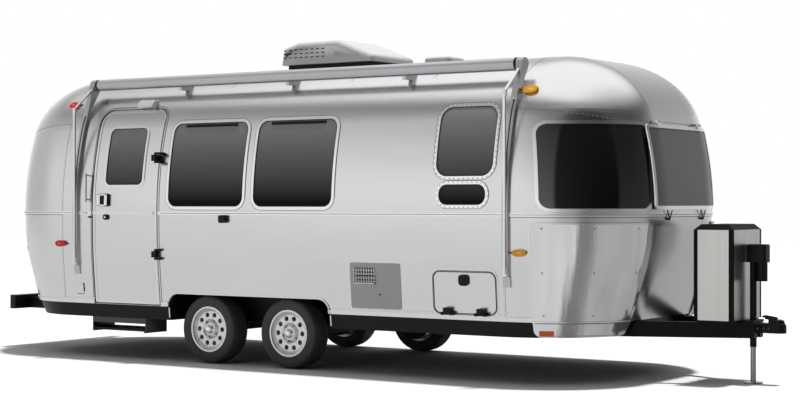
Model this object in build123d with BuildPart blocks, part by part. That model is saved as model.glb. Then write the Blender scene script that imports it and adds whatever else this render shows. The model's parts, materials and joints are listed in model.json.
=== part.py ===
"""Twin-axle travel caravan with a riveted, round-ended aluminium body.

Millimetres. +X is forward to the coupler, +Y is the street side, -Y the curb
side with the door, and +Z is up. The ground is at z = 0.
"""
import os
from functools import cache
from math import cos, radians, sin, sqrt

from build123d import *

os.makedirs("parts", exist_ok=True)

# Body shell
BODY_FRONT = 3080.0
BODY_REAR = -3795.0
WALL = 45.0
DOOR_THICKNESS = 30.0
GLASS_THICKNESS = 8.0
GLASS_RECESS = 2.0
FRAME_WIDTH = 13.0
FRAME_PROUD = 5.0
FRAME_DEPTH = 24.0
# Body below the belt, from sill up: height, half width, inset of both ends, plan corner radius
LOWER_ROWS = [
    (505.0, 1225.0, 195.0, 830.0),
    (940.0, 1261.0, 52.0, 880.0),
    (1100.0, 1267.0, 18.0, 892.0),
    (1366.0, 1270.0, 0.0, 900.0),
]
SKIRT_ROW = (380.0, 1212.0, 270.0, 800.0)
SILL = LOWER_ROWS[0][0]
BELT, BELT_HALF_WIDTH, _, CORNER_RADIUS = LOWER_ROWS[-1]
SKIRT_BOTTOM = SKIRT_ROW[0]
SKIRT_INSET = 14.0
# Body above the belt: three tangent arcs, the wall, the shoulder and the crown,
# and the angles of the normal where they meet
WALL_ARC = 2960.0
SHOULDER_ARC = 640.0
WALL_TO_SHOULDER = 15.0
SHOULDER_TO_CROWN = 50.0

# Where the panels meet
FRONT_SEAM = 2080.0
REAR_SEAM = -2770.0
ROOF_SEAM = 2430.0
CAP_SEAM = 2200.0
CAP_SIDE_SEAM = 445.0

# Curb side: window name, rear x, front x, bottom z, top z, corner radius
CURB_WINDOWS = [
    ("rear", -1429.0, -566.0, 1418.0, 2174.0, 85.0),
    ("middle", -445.0, 405.0, 1418.0, 2174.0, 85.0),
    ("front_upper", 1444.0, 1983.0, 1668.0, 2237.0, 105.0),
    ("front_lower", 1480.0, 1924.0, 1435.0, 1602.0, 75.0),
]
# Street side, the same columns
STREET_WINDOWS = [
    ("rear", -2262.0, -1399.0, 1418.0, 2174.0, 85.0),
    ("middle", -445.0, 405.0, 1418.0, 2174.0, 85.0),
    ("front_upper", 1444.0, 1983.0, 1668.0, 2237.0, 105.0),
]
# End windows: half width, bottom z, top z, corner radius
END_WINDOW = (405.0, 1425.0, 2040.0, 60.0)
CORNER_WINDOW_REAR_X = 2420.0
CORNER_WINDOW_INNER_Y = 605.0
CORNER_WINDOW_BOTTOM = 1406.0
CORNER_WINDOW_TOP = 2078.0
CORNER_WINDOW_RADIUS = 85.0

# Entry door
DOOR_REAR = -2363.0
DOOR_FRONT = -1564.0
DOOR_BOTTOM = 515.0
DOOR_TOP = 2320.0
DOOR_RADIUS = 120.0
DOOR_FOOT_RADIUS = 24.0
DOOR_FREE_GAP = 14.0
DOOR_GAP = 7.0
DOOR_WINDOW = ("door", -2209.0, -1755.0, 1618.0, 2144.0, 55.0)
DOOR_HINGE_OUT = 26.0
DOOR_HINGE_HEIGHTS = (981.0, 1863.0)

# Pin hinges of the door, hatch and window guard
HINGE_LENGTH = 100.0
HINGE_LUG = 20.0
HINGE_SIDE_GAP = 1.0
BARREL_RADIUS = 11.0
PIN_RADIUS = 5.0
PIN_GAP = 0.3
HINGE_WEB = 45.0

# Access hatch
HATCH_REAR = 1426.0
HATCH_FRONT = 2003.0
HATCH_BOTTOM = 560.0
HATCH_TOP = 890.0
HATCH_RADIUS = 55.0
HATCH_GAP = 7.0
HATCH_HINGE_OUT = 14.0
HATCH_HINGE_INSET = 130.0

# Wheels and axles
WHEEL_MIDDLE = -610.0
AXLE_SPACING = 902.0
TYRE_RADIUS = 310.0
TYRE_WIDTH = 215.0
TYRE_OUTER_Y = 1150.0
RIM_RADIUS = 208.0
RIM_WIDTH = 190.0
SPINDLE_RADIUS = 25.0
SPINDLE_GAP = 0.3
AXLE_TUBE = 80.0
ARM_LENGTH = 160.0
ARM_THICKNESS = 40.0
ARM_HEIGHT = 70.0
ARM_INNER_Y = 830.0
DRUM_RADIUS = 130.0
DRUM_DEPTH = 40.0
RIM_HOLES = 10
RIM_HOLE_RADIUS = 22.0
RIM_HOLE_CIRCLE = 132.0

# Wheel opening and box
ARCH_REAR = -1455.0
ARCH_FRONT = 350.0
ARCH_TOP = 625.0
ARCH_RADIUS = 110.0
WELL_INNER_Y = 858.0
WELL_TOP = 684.0
WELL_SHEET = 6.0
FLOOR_THICKNESS = 40.0

# Trim
RAIL_PROUD = 8.0
BELT_RAIL_BOTTOM = 1344.0
BELT_RAIL_TOP = 1370.0
SILL_RAIL_HEIGHT = 36.0

# Stone guards on the lower front corners
STONE_GUARD_OUT = 20.0
STONE_GUARD_SHEET = 4.0
STONE_GUARD_REAR_X = 2322.0
STONE_GUARD_TOP = 1294.0
STONE_GUARD_BOTTOM = 384.0
STONE_GUARD_RADIUS = 60.0
STONE_GUARD_STUD = 40.0
STONE_GUARD_INNER_Y = 590.0

# Hinged guard over the front centre window
WINDOW_GUARD_HALF_WIDTH = 575.0
WINDOW_GUARD_BOTTOM = 1400.0
WINDOW_GUARD_TOP = 2087.0
WINDOW_GUARD_OUT = 22.0
WINDOW_GUARD_SHEET = 6.0
WINDOW_GUARD_FRAME = 28.0
WINDOW_GUARD_FRAME_PROUD = 4.0
WINDOW_GUARD_RADIUS = 40.0
WINDOW_GUARD_HINGE_Y = 380.0
WINDOW_GUARD_HINGE_RISE = 12.0
WINDOW_GUARD_BARREL = 6.0
WINDOW_GUARD_PIN = 3.0
WINDOW_GUARD_LUG = 16.0

# Drawbar, coupler and jack
BEAM_TOP = 495.0
BEAM_HEIGHT = 125.0
BEAM_WIDTH = 60.0
BEAM_REAR_X = 2350.0
BEAM_REAR_Y = 640.0
BEAM_FRONT_X = 3720.0
BEAM_FRONT_Y = 62.0
COUPLER_TIP = 3950.0
BALL_X = 3892.0
BALL_RADIUS = 29.4
BALL_GAP = 0.4
SOCKET_DEPTH = 34.0
COUPLER_BOTTOM = 412.0
COUPLER_TOP = 490.0
COUPLER_HALF_WIDTH = 52.0
JACK_X = 3675.0
JACK_TUBE_RADIUS = 27.0
JACK_TUBE_BOTTOM = 295.0
JACK_TUBE_TOP = 975.0
JACK_RAM_RADIUS = 22.0
JACK_RAM_GAP = 0.4
JACK_RAM_TOP = 780.0
JACK_FOOT_RADIUS = 75.0
JACK_FOOT_HEIGHT = 12.0
JACK_HEAD_REAR = 3634.0
JACK_HEAD_FRONT = 3800.0
JACK_HEAD_HALF_WIDTH = 62.0
JACK_HEAD_TOP = 1121.0
JACK_MOTOR_X = 3747.0
JACK_MOTOR_RADIUS = 46.0
JACK_MOTOR_BOTTOM = 824.0

# Gas bottle cover
COVER_REAR = 3291.0
COVER_FRONT = 3623.0
COVER_HALF_WIDTH = 300.0
COVER_TOP = 1281.0
COVER_TRAY = 18.0
COVER_SLOPE = 45.0
COVER_POST = 34.0

# Rear bumper
BUMPER_REAR = -3950.0
BUMPER_DEPTH = 105.0
BUMPER_HALF_WIDTH = 840.0
BUMPER_BOTTOM = 385.0
BUMPER_TOP = 520.0
BUMPER_ARM_Y = 600.0
BUMPER_ARM_WIDTH = 80.0

# Awning
AWNING_RADIUS = 52.0
AWNING_Y = -1005.0
AWNING_Z = 2575.0
AWNING_REAR = -2550.0
AWNING_FRONT = 2090.0
AWNING_CAP = 26.0
ARM_STRIP = 20.0
ARM_STRIP_PITCH = 34.0
ARM_PROUD = 26.0
ARM_BOTTOM = 860.0
ARM_BEND = 2330.0
ARM_LINK = 40.0
CRADLE_XS = (-1500.0, -260.0, 980.0)
CRADLE_LENGTH = 36.0
CRADLE_BOTTOM = 2492.0
CRADLE_TOP = 2550.0

# Roof
AC_REAR = -860.0
AC_FRONT = 200.0
AC_HALF_WIDTH = 350.0
AC_BASE_TOP = 2735.0
AC_BASE_INSET = 60.0
AC_TOP = 2945.0
# Side outline of its shroud over the base, from the rear foot: share of the length, share of the height
AC_OUTLINE = [(0.0, 0.0), (0.03, 0.76), (0.20, 1.0), (0.62, 1.0), (1.0, 0.28), (1.0, 0.0)]
AC_BEND = 90.0
AC_EDGE = 55.0
VENT_X = 740.0
VENT_SIZE = 280.0
VENT_TOP = 2760.0

# Heater panel in the curb wall
HEATER_REAR = 591.0
HEATER_FRONT = 1098.0
HEATER_BOTTOM = 566.0
HEATER_TOP = 950.0
HEATER_RADIUS = 20.0
HEATER_PROUD = 5.0
LOUVRES = 5
LOUVRE_X = 745.0
LOUVRE_LENGTH = 210.0
LOUVRE_HEIGHT = 14.0
LOUVRE_PITCH = 32.0
LOUVRE_FIRST_Z = 775.0

# Entry step
STEP_REAR = -2440.0
STEP_FRONT = -1770.0
STEP_OUTER_Y = -1190.0
STEP_INNER_Y = -900.0
STEP_BOTTOM = 246.0
STEP_PLATE = 10.0
STEP_LEDGE = 26.0
STEP_LEDGE_HEIGHT = 12.0
STEP_TREAD_HEIGHT = 26.0
STEP_GAP = 6.0
STEP_BAR = 50.0

# Lamps: x, height, length, depth of the oval on the skin
RED_MARKERS = [(-2821.0, 2395.0, 105.0, 60.0), (-2775.0, 1065.0, 125.0, 60.0)]
AMBER_MARKERS = [(2225.0, 2365.0, 125.0, 65.0), (2237.0, 1056.0, 125.0, 60.0)]
MARKER_PROUD = 24.0
TAIL_LAMP_Y = 800.0
TAIL_LAMP_Z = 1000.0
TAIL_LAMP_LENGTH = 190.0
TAIL_LAMP_HEIGHT = 110.0

# Curb wall fittings
GRAB_X = -2424.0
GRAB_BOTTOM = 1459.0
GRAB_TOP = 1730.0
GRAB_RADIUS = 11.0
GRAB_FOOT_RADIUS = 8.0
GRAB_OUT = 42.0
PORCH_X = -1844.0
PORCH_Z = 2372.0
PORCH_LENGTH = 190.0
PORCH_HEIGHT = 70.0
PORCH_PROUD = 55.0
CATCH_X = -774.0
CATCH_Z = 1308.0
CATCH_SIZE = 70.0
CATCH_PROUD = 40.0
HANDLE_X = -2222.0
HANDLE_Z = 1478.0
HANDLE_LENGTH = 130.0
HANDLE_HEIGHT = 120.0
HANDLE_PROUD = 28.0
LOCK_X = -2192.0
LOCK_Z = 1318.0
LOCK_RADIUS = 26.0
LOCK_PROUD = 22.0
HATCH_LOCK_SIZE = 90.0
HATCH_LOCK_PROUD = 18.0

# Reach of cutting prisms past the body
OUTSIDE = 1500.0
INSIDE = 600.0
BODY_MIDDLE = (BODY_FRONT + BODY_REAR) / 2
BODY_LENGTH = BODY_FRONT - BODY_REAR
SPAN = 2 * BODY_LENGTH


WALL_CENTRE = (CORNER_RADIUS - WALL_ARC, BELT)
SHOULDER_CENTRE = (
    WALL_CENTRE[0] + (WALL_ARC - SHOULDER_ARC) * cos(radians(WALL_TO_SHOULDER)),
    WALL_CENTRE[1] + (WALL_ARC - SHOULDER_ARC) * sin(radians(WALL_TO_SHOULDER)),
)
CROWN_ARC = SHOULDER_ARC + SHOULDER_CENTRE[0] / cos(radians(SHOULDER_TO_CROWN))
CROWN_CENTRE = (
    0.0,
    SHOULDER_CENTRE[1] + (SHOULDER_ARC - CROWN_ARC) * sin(radians(SHOULDER_TO_CROWN)),
)
CROWN = CROWN_CENTRE[1] + CROWN_ARC
STRAIGHT_X = BODY_LENGTH / 2 - CORNER_RADIUS
STRAIGHT_Y = BELT_HALF_WIDTH - CORNER_RADIUS


def half_profile(offset):
    """Face between the corner's axis and the body's outside, from the belt to the crown."""
    with BuildSketch() as profile:
        with BuildLine():
            wall = CenterArc(WALL_CENTRE, WALL_ARC + offset, 0, WALL_TO_SHOULDER)
            shoulder = CenterArc(
                SHOULDER_CENTRE,
                SHOULDER_ARC + offset,
                WALL_TO_SHOULDER,
                SHOULDER_TO_CROWN - WALL_TO_SHOULDER,
            )
            crown = CenterArc(
                CROWN_CENTRE, CROWN_ARC + offset, SHOULDER_TO_CROWN, 90 - SHOULDER_TO_CROWN
            )
            Polyline(crown @ 1, (0, BELT), wall @ 0)
        make_face()
    return profile.sketch


def upper_body(offset):
    """The body above the belt: four straight walls, four round corners and the roof's middle."""
    profile = half_profile(offset)
    with BuildPart() as upper:
        with Locations((BODY_MIDDLE, 0, (BELT + CROWN + offset) / 2)):
            Box(2 * STRAIGHT_X, 2 * STRAIGHT_Y, CROWN + offset - BELT)
        for turn in range(4):
            along_x = turn % 2 == 0
            half_length, out = (STRAIGHT_X, STRAIGHT_Y) if along_x else (STRAIGHT_Y, STRAIGHT_X)
            facing = Vector(0, -1, 0).rotate(Axis.Z, 90 * turn)
            run = Vector(1, 0, 0).rotate(Axis.Z, 90 * turn)
            middle = Vector(BODY_MIDDLE, 0, 0) + facing * out
            section = Plane(origin=middle + run * half_length, x_dir=facing, z_dir=-run)
            with BuildSketch(section):
                add(profile)
            extrude(amount=2 * half_length)
            with BuildSketch(section):
                add(profile)
            revolve(axis=Axis(section.origin, (0, 0, 1)), revolution_arc=90)
    return upper.part


def body_rows(offset, rows):
    """The body through some rows of its section table, with straight walls between them."""
    with BuildPart() as solid:
        for height, half_width, end_inset, radius in rows:
            with BuildSketch(Plane.XY.offset(height)):
                with Locations((BODY_MIDDLE, 0)):
                    RectangleRounded(
                        BODY_LENGTH + 2 * (offset - end_inset),
                        2 * (half_width + offset),
                        radius + offset,
                    )
        loft(ruled=True)
    return solid.part


@cache
def body_solid(offset):
    """The body's outside as one solid, moved out by offset."""
    with BuildPart() as solid:
        add(body_rows(offset, LOWER_ROWS))
        add(upper_body(offset))
    return solid.part


def body_half_width(height):
    """Half the body's width at a height between the belt and the shoulder."""
    rise = height - BELT
    return STRAIGHT_Y + WALL_CENTRE[0] + sqrt(WALL_ARC**2 - rise**2)


@cache
def body_skin(outer, inner):
    """The layer of the body between two offsets."""
    with BuildPart() as skin:
        add(body_solid(outer))
        add(body_solid(inner), mode=Mode.SUBTRACT)
    return skin.part


def side_plane(side):
    """A sketch plane inside the cabin that faces out of one side, -1 curb or 1 street."""
    return Plane(origin=(0, side * INSIDE, 0), x_dir=(1, 0, 0), z_dir=(0, side, 0))


def side_prism(side, rear, front, bottom, top, radius, grow=0.0):
    """A rounded rectangular prism through one side wall."""
    middle_z = (bottom + top) / 2
    with BuildPart() as prism:
        with BuildSketch(side_plane(side)):
            with Locations(((rear + front) / 2, -side * middle_z)):
                RectangleRounded(
                    front - rear + 2 * grow, top - bottom + 2 * grow, radius + grow
                )
        extrude(amount=OUTSIDE - INSIDE)
    return prism.part


def end_prism(end, half_width, bottom, top, radius, grow=0.0):
    """A rounded rectangular prism through the front (1) or rear (-1) wall."""
    origin = (BODY_MIDDLE + end * BODY_LENGTH / 4, 0, 0)
    with BuildPart() as prism:
        with BuildSketch(Plane(origin=origin, x_dir=(0, 1, 0), z_dir=(end, 0, 0))):
            with Locations((0, end * (bottom + top) / 2)):
                RectangleRounded(
                    2 * (half_width + grow), top - bottom + 2 * grow, radius + grow
                )
        extrude(amount=BODY_LENGTH / 2)
    return prism.part


def diagonal_plane(side):
    """A sketch plane square to the front corner's diagonal; its x runs forward and inward."""
    plane = Plane(origin=(0, 0, 0), x_dir=(1, -side, 0), z_dir=(1, side, 0))
    return plane.offset(BODY_FRONT / 2)


def along_diagonal(x, half_width):
    """Distance along the diagonal plane's x of a point at x, half_width."""
    return (x - half_width) / sqrt(2)


def corner_prism(side, grow=0.0):
    """The front corner window's outline carried through the corner along its diagonal."""
    rear = along_diagonal(CORNER_WINDOW_REAR_X, BELT_HALF_WIDTH)
    front = along_diagonal(BODY_FRONT, CORNER_WINDOW_INNER_Y)
    middle_z = (CORNER_WINDOW_BOTTOM + CORNER_WINDOW_TOP) / 2
    height = CORNER_WINDOW_TOP - CORNER_WINDOW_BOTTOM
    with BuildPart() as prism:
        with BuildSketch(diagonal_plane(side)):
            with Locations(((rear + front) / 2, -side * middle_z)):
                RectangleRounded(
                    front - rear + 2 * grow,
                    height + 2 * grow,
                    CORNER_WINDOW_RADIUS + grow,
                )
        extrude(amount=BODY_LENGTH)
    return prism.part


def span_box(low, high):
    """A box between two corners."""
    with BuildPart() as block:
        with Locations(tuple((a + b) / 2 for a, b in zip(low, high))):
            Box(*(b - a for a, b in zip(low, high)))
    return block.part


def door_prism(grow_free, grow):
    """The door's outline, grown at its free edge and at its other edges."""
    rear, front = DOOR_REAR - grow_free, DOOR_FRONT + grow
    bottom, top = DOOR_BOTTOM - grow, DOOR_TOP + grow
    with BuildPart() as prism:
        with BuildSketch(side_plane(-1)) as outline:
            with Locations(((rear + front) / 2, (bottom + top) / 2)):
                Rectangle(front - rear, top - bottom)
            low_corners, high_corners = outline.vertices().group_by(Axis.Y)
            fillet(high_corners, DOOR_RADIUS)
            fillet(low_corners, DOOR_FOOT_RADIUS)
        extrude(amount=OUTSIDE - INSIDE)
    return prism.part


def finish(part, name):
    """Label a piece and write it."""
    part.label = name
    export_step(part, f"parts/{name}.step")


# Shared layers of the shell
outside = body_solid(0.0)
inside = body_solid(-WALL)
shell = body_skin(0.0, -WALL)
glass_layer = body_skin(-GLASS_RECESS, -GLASS_RECESS - GLASS_THICKNESS)
flange_layer = body_skin(FRAME_PROUD, 0.0)
lining_layer = body_skin(0.0, -FRAME_DEPTH)
rail_layer = body_skin(RAIL_PROUD, 0.0)

door_opening = door_prism(DOOR_FREE_GAP, DOOR_GAP)
door_outline = door_prism(0.0, 0.0)
hatch_outline = side_prism(
    -1, HATCH_REAR, HATCH_FRONT, HATCH_BOTTOM, HATCH_TOP, HATCH_RADIUS
)
hatch_opening = side_prism(
    -1, HATCH_REAR, HATCH_FRONT, HATCH_BOTTOM, HATCH_TOP, HATCH_RADIUS, HATCH_GAP
)
heater_outline = side_prism(
    -1, HEATER_REAR, HEATER_FRONT, HEATER_BOTTOM, HEATER_TOP, HEATER_RADIUS
)
arch_outlines = {
    side: side_prism(
        side, ARCH_REAR, ARCH_FRONT, SILL - ARCH_TOP + SILL, ARCH_TOP, ARCH_RADIUS
    )
    for side in (-1, 1)
}
side_windows = {-1: CURB_WINDOWS, 1: STREET_WINDOWS}
side_names = {-1: "curb", 1: "street"}
end_names = {1: "front", -1: "rear"}

# Side walls, with their windows, wheel arch, door and hatches cut
for side, side_name in side_names.items():
    with BuildPart() as wall:
        add(shell)
        low = (REAR_SEAM, min(0, side * OUTSIDE), SILL)
        high = (FRONT_SEAM, max(0, side * OUTSIDE), ROOF_SEAM)
        add(span_box(low, high), mode=Mode.INTERSECT)
        add(arch_outlines[side], mode=Mode.SUBTRACT)
        for name, *sizes in side_windows[side]:
            add(side_prism(side, *sizes, grow=FRAME_WIDTH), mode=Mode.SUBTRACT)
        if side < 0:
            add(door_opening, mode=Mode.SUBTRACT)
            add(hatch_opening, mode=Mode.SUBTRACT)
            add(heater_outline, mode=Mode.SUBTRACT)
    finish(wall.part, f"{side_name}_wall")

# Roof between the end caps
with BuildPart() as roof_panel:
    add(shell)
    add(
        span_box((REAR_SEAM, -OUTSIDE, ROOF_SEAM), (FRONT_SEAM, OUTSIDE, CROWN + WALL)),
        mode=Mode.INTERSECT,
    )
finish(roof_panel.part, "roof_panel")

# End caps: a dome over two corner panels and a centre panel
for end, end_name in end_names.items():
    seam = FRONT_SEAM if end > 0 else REAR_SEAM
    tip = seam + end * BODY_LENGTH
    near, far = min(seam, tip), max(seam, tip)
    with BuildPart() as dome:
        add(shell)
        add(
            span_box((near, -OUTSIDE, CAP_SEAM), (far, OUTSIDE, CROWN + WALL)),
            mode=Mode.INTERSECT,
        )
    finish(dome.part, f"{end_name}_dome")
    with BuildPart() as centre:
        add(shell)
        add(
            span_box(
                (near, -CAP_SIDE_SEAM, SILL), (far, CAP_SIDE_SEAM, CAP_SEAM)
            ),
            mode=Mode.INTERSECT,
        )
        add(end_prism(end, *END_WINDOW, grow=FRAME_WIDTH), mode=Mode.SUBTRACT)
    finish(centre.part, f"{end_name}_centre")
    corner_solids = []
    for side in side_names:
        edge, rim = side * CAP_SIDE_SEAM, side * OUTSIDE
        with BuildPart() as corner:
            add(shell)
            add(
                span_box((near, min(edge, rim), SILL), (far, max(edge, rim), CAP_SEAM)),
                mode=Mode.INTERSECT,
            )
            if end > 0:
                add(corner_prism(side, FRAME_WIDTH), mode=Mode.SUBTRACT)
        corner_solids += corner.part.solids()
    finish(Compound(corner_solids), f"{end_name}_corners")


def layer_piece(layer, outline):
    """What an outline cuts from a layer of the body."""
    with BuildPart() as piece:
        add(layer)
        add(outline, mode=Mode.INTERSECT)
    return piece.part


def window_frame(prism_of):
    """A frame that lines an opening and has a flange on the skin; prism_of gives its outline."""
    with BuildPart() as frame:
        add(layer_piece(lining_layer, prism_of(FRAME_WIDTH)))
        add(layer_piece(flange_layer, prism_of(2 * FRAME_WIDTH)))
        add(prism_of(0.0), mode=Mode.SUBTRACT)
    return frame.part


def window_glass(prism_of):
    """The pane that fills a frame."""
    return layer_piece(glass_layer, prism_of(0.0))


side_outlines = [
    lambda grow, side=side, sizes=sizes: side_prism(side, *sizes, grow=grow)
    for side in side_names
    for name, *sizes in side_windows[side]
]
end_outlines = [
    lambda grow, end=end: end_prism(end, *END_WINDOW, grow=grow) for end in end_names
] + [lambda grow, side=side: corner_prism(side, grow) for side in side_names]
for group, outlines in (("side", side_outlines), ("end", end_outlines)):
    finish(
        Compound([solid for o in outlines for solid in window_frame(o).solids()]),
        f"{group}_window_frames",
    )
    finish(
        Compound([solid for o in outlines for solid in window_glass(o).solids()]),
        f"{group}_glass",
    )


def on_skin(block, proud=OUTSIDE):
    """A block cut back to the body's outside, and to a layer of it where proud is given."""
    with BuildPart() as piece:
        add(block)
        if proud < OUTSIDE:
            add(body_solid(proud), mode=Mode.INTERSECT)
        add(outside, mode=Mode.SUBTRACT)
    return piece.part


def joined(*pieces):
    """Several touching pieces as one."""
    with BuildPart() as whole:
        for piece in pieces:
            add(piece)
    return whole.part


def rod(start, end, radius):
    """A round bar between two points."""
    run = Vector(*end) - Vector(*start)
    with BuildPart() as bar:
        with BuildSketch(Plane(origin=start, z_dir=run)):
            Circle(radius)
        extrude(amount=run.length)
    return bar.part


# Belt and sill rails on the skin
rail_cuts = joined(side_prism(-1, DOOR_REAR, DOOR_FRONT, SILL, DOOR_TOP, DOOR_GAP, DOOR_FREE_GAP))
with BuildPart() as belt_rail:
    add(rail_layer)
    low = (BODY_REAR - OUTSIDE, -OUTSIDE, BELT_RAIL_BOTTOM)
    high = (BODY_FRONT + OUTSIDE, OUTSIDE, BELT_RAIL_TOP)
    add(span_box(low, high), mode=Mode.INTERSECT)
    add(rail_cuts, mode=Mode.SUBTRACT)
finish(belt_rail.part, "belt_rail")
with BuildPart() as sill_rail:
    add(rail_layer)
    low = (BODY_REAR - OUTSIDE, -OUTSIDE, SILL)
    high = (STONE_GUARD_REAR_X, OUTSIDE, SILL + SILL_RAIL_HEIGHT)
    add(span_box(low, high), mode=Mode.INTERSECT)
    add(rail_cuts, mode=Mode.SUBTRACT)
    for side in side_names:
        add(arch_outlines[side], mode=Mode.SUBTRACT)
finish(sill_rail.part, "sill_rail")

# Underbody: a closed pan with wheel wells, and pockets for the drawbar
beam_slope = (BEAM_REAR_Y - BEAM_FRONT_Y) / (BEAM_FRONT_X - BEAM_REAR_X)
beam_half_width = BEAM_WIDTH / 2 * sqrt(1 + beam_slope**2)
with BuildPart() as beams:
    with BuildSketch(Plane.XY.offset(BEAM_TOP - BEAM_HEIGHT)):
        for side in side_names:
            with BuildLine():
                Polyline(
                    (BEAM_REAR_X, side * (BEAM_REAR_Y - beam_half_width)),
                    (BEAM_REAR_X, side * (BEAM_REAR_Y + beam_half_width)),
                    (BEAM_FRONT_X, side * (BEAM_FRONT_Y + beam_half_width)),
                    (BEAM_FRONT_X, side * (BEAM_FRONT_Y - beam_half_width)),
                    close=True,
                )
            make_face()
    extrude(amount=BEAM_HEIGHT)
with BuildPart() as belly_pan:
    add(body_rows(-SKIRT_INSET, [SKIRT_ROW, LOWER_ROWS[0]]))
    for side in side_names:
        edge, rim = side * WELL_INNER_Y, side * OUTSIDE
        low = (ARCH_REAR, min(edge, rim), 0)
        high = (ARCH_FRONT, max(edge, rim), SILL)
        add(span_box(low, high), mode=Mode.SUBTRACT)
    add(beams.part, mode=Mode.SUBTRACT)
finish(belly_pan.part, "belly_pan")

# Drawbar: two beams with a cross plate for the jack and a tray under the bottle cover
JACK_PLATE_REAR = JACK_X - 3 * JACK_TUBE_RADIUS
with BuildPart() as drawbar:
    add(beams.part)
    tray_half = BEAM_FRONT_Y + beam_slope * (BEAM_FRONT_X - COVER_REAR)
    add(span_box((COVER_REAR, -tray_half, BEAM_TOP), (COVER_FRONT, tray_half, BEAM_TOP + COVER_TRAY)))
    jack_half = BEAM_FRONT_Y + beam_slope * (BEAM_FRONT_X - JACK_PLATE_REAR)
    add(span_box((COVER_FRONT, -jack_half, BEAM_TOP), (BEAM_FRONT_X, jack_half, BEAM_TOP + COVER_TRAY)))
    add(rod((JACK_X, 0, 0), (JACK_X, 0, JACK_TUBE_TOP), JACK_TUBE_RADIUS), mode=Mode.SUBTRACT)
finish(drawbar.part, "drawbar")

# Coupler with its ball socket open below
with BuildPart() as coupler:
    neck_half = BEAM_FRONT_Y + beam_half_width
    with BuildSketch(Plane.XY.offset(COUPLER_BOTTOM)):
        with BuildLine():
            tip_radius = COUPLER_TIP - BALL_X
            Polyline(
                (BALL_X, tip_radius),
                (BEAM_FRONT_X + COUPLER_HALF_WIDTH, COUPLER_HALF_WIDTH),
                (BEAM_FRONT_X, neck_half),
                (BEAM_FRONT_X, -neck_half),
                (BEAM_FRONT_X + COUPLER_HALF_WIDTH, -COUPLER_HALF_WIDTH),
                (BALL_X, -tip_radius),
            )
            RadiusArc((BALL_X, -tip_radius), (BALL_X, tip_radius), -tip_radius)
        make_face()
    extrude(amount=COUPLER_TOP - COUPLER_BOTTOM)
    top_rim = coupler.faces().sort_by(Axis.Z)[-1].edges()
    fillet(top_rim, radius=COUPLER_TIP - BALL_X - BALL_RADIUS - COVER_TRAY / 2)
    socket_radius = BALL_RADIUS + BALL_GAP
    with BuildSketch(Plane.XY.offset(COUPLER_BOTTOM)):
        with Locations((BALL_X, 0)):
            Circle(socket_radius)
    extrude(amount=SOCKET_DEPTH, mode=Mode.SUBTRACT)
    with Locations((BALL_X, 0, COUPLER_BOTTOM + SOCKET_DEPTH)):
        Sphere(socket_radius, mode=Mode.SUBTRACT)
finish(coupler.part, "coupler")

# Jack: fixed tube with its motor head, and the ram with its foot
with BuildPart() as jack_body:
    add(rod((JACK_X, 0, JACK_TUBE_BOTTOM), (JACK_X, 0, JACK_TUBE_TOP), JACK_TUBE_RADIUS))
    with Locations(((JACK_HEAD_REAR + JACK_HEAD_FRONT) / 2, 0, (JACK_TUBE_TOP + JACK_HEAD_TOP) / 2)):
        Box(JACK_HEAD_FRONT - JACK_HEAD_REAR, 2 * JACK_HEAD_HALF_WIDTH, JACK_HEAD_TOP - JACK_TUBE_TOP)
    head_edges = jack_body.edges().filter_by(Axis.Z)
    fillet(head_edges, radius=JACK_TUBE_RADIUS)
    head_rim = jack_body.faces().sort_by(Axis.Z)[-1].edges()
    fillet(head_rim, radius=JACK_TUBE_RADIUS / 2)
    add(rod((JACK_MOTOR_X, 0, JACK_MOTOR_BOTTOM), (JACK_MOTOR_X, 0, JACK_TUBE_TOP), JACK_MOTOR_RADIUS))
    add(
        rod((JACK_X, 0, JACK_TUBE_BOTTOM), (JACK_X, 0, JACK_RAM_TOP), JACK_RAM_RADIUS + JACK_RAM_GAP),
        mode=Mode.SUBTRACT,
    )
finish(jack_body.part, "jack_body")
with BuildPart() as jack_ram:
    add(rod((JACK_X, 0, JACK_FOOT_HEIGHT), (JACK_X, 0, JACK_RAM_TOP - JACK_TUBE_BOTTOM), JACK_RAM_RADIUS))
    add(rod((JACK_X, 0, 0), (JACK_X, 0, JACK_FOOT_HEIGHT), JACK_FOOT_RADIUS))
finish(jack_ram.part, "jack_ram")

# Gas bottle cover: sloped-top housing of panels, with dark corner posts and lid
cover_seat = BEAM_TOP + COVER_TRAY
cover_shoulder = COVER_TOP - COVER_SLOPE
with BuildPart() as cover_block:
    with BuildSketch(Plane.XY.offset(cover_seat)):
        with Locations(((COVER_REAR + COVER_FRONT) / 2, 0)):
            Rectangle(COVER_FRONT - COVER_REAR, 2 * COVER_HALF_WIDTH)
    extrude(amount=cover_shoulder - cover_seat)
with BuildPart() as cover_posts:
    for x in (COVER_REAR, COVER_FRONT):
        for side in side_names:
            with Locations((x, side * COVER_HALF_WIDTH, (cover_seat + cover_shoulder) / 2)):
                Box(2 * COVER_POST, 2 * COVER_POST, cover_shoulder - cover_seat)
    add(cover_block.part, mode=Mode.INTERSECT)
with BuildPart() as gas_cover:
    add(cover_block.part)
    add(cover_posts.part, mode=Mode.SUBTRACT)
finish(gas_cover.part, "gas_cover")
with BuildPart() as gas_cover_trim:
    add(cover_posts.part)
    with BuildSketch(Plane.XY.offset(cover_shoulder)):
        with Locations(((COVER_REAR + COVER_FRONT) / 2, 0)):
            Rectangle(COVER_FRONT - COVER_REAR, 2 * COVER_HALF_WIDTH)
    extrude(amount=COVER_SLOPE, taper=45)
finish(gas_cover_trim.part, "gas_cover_trim")

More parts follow.
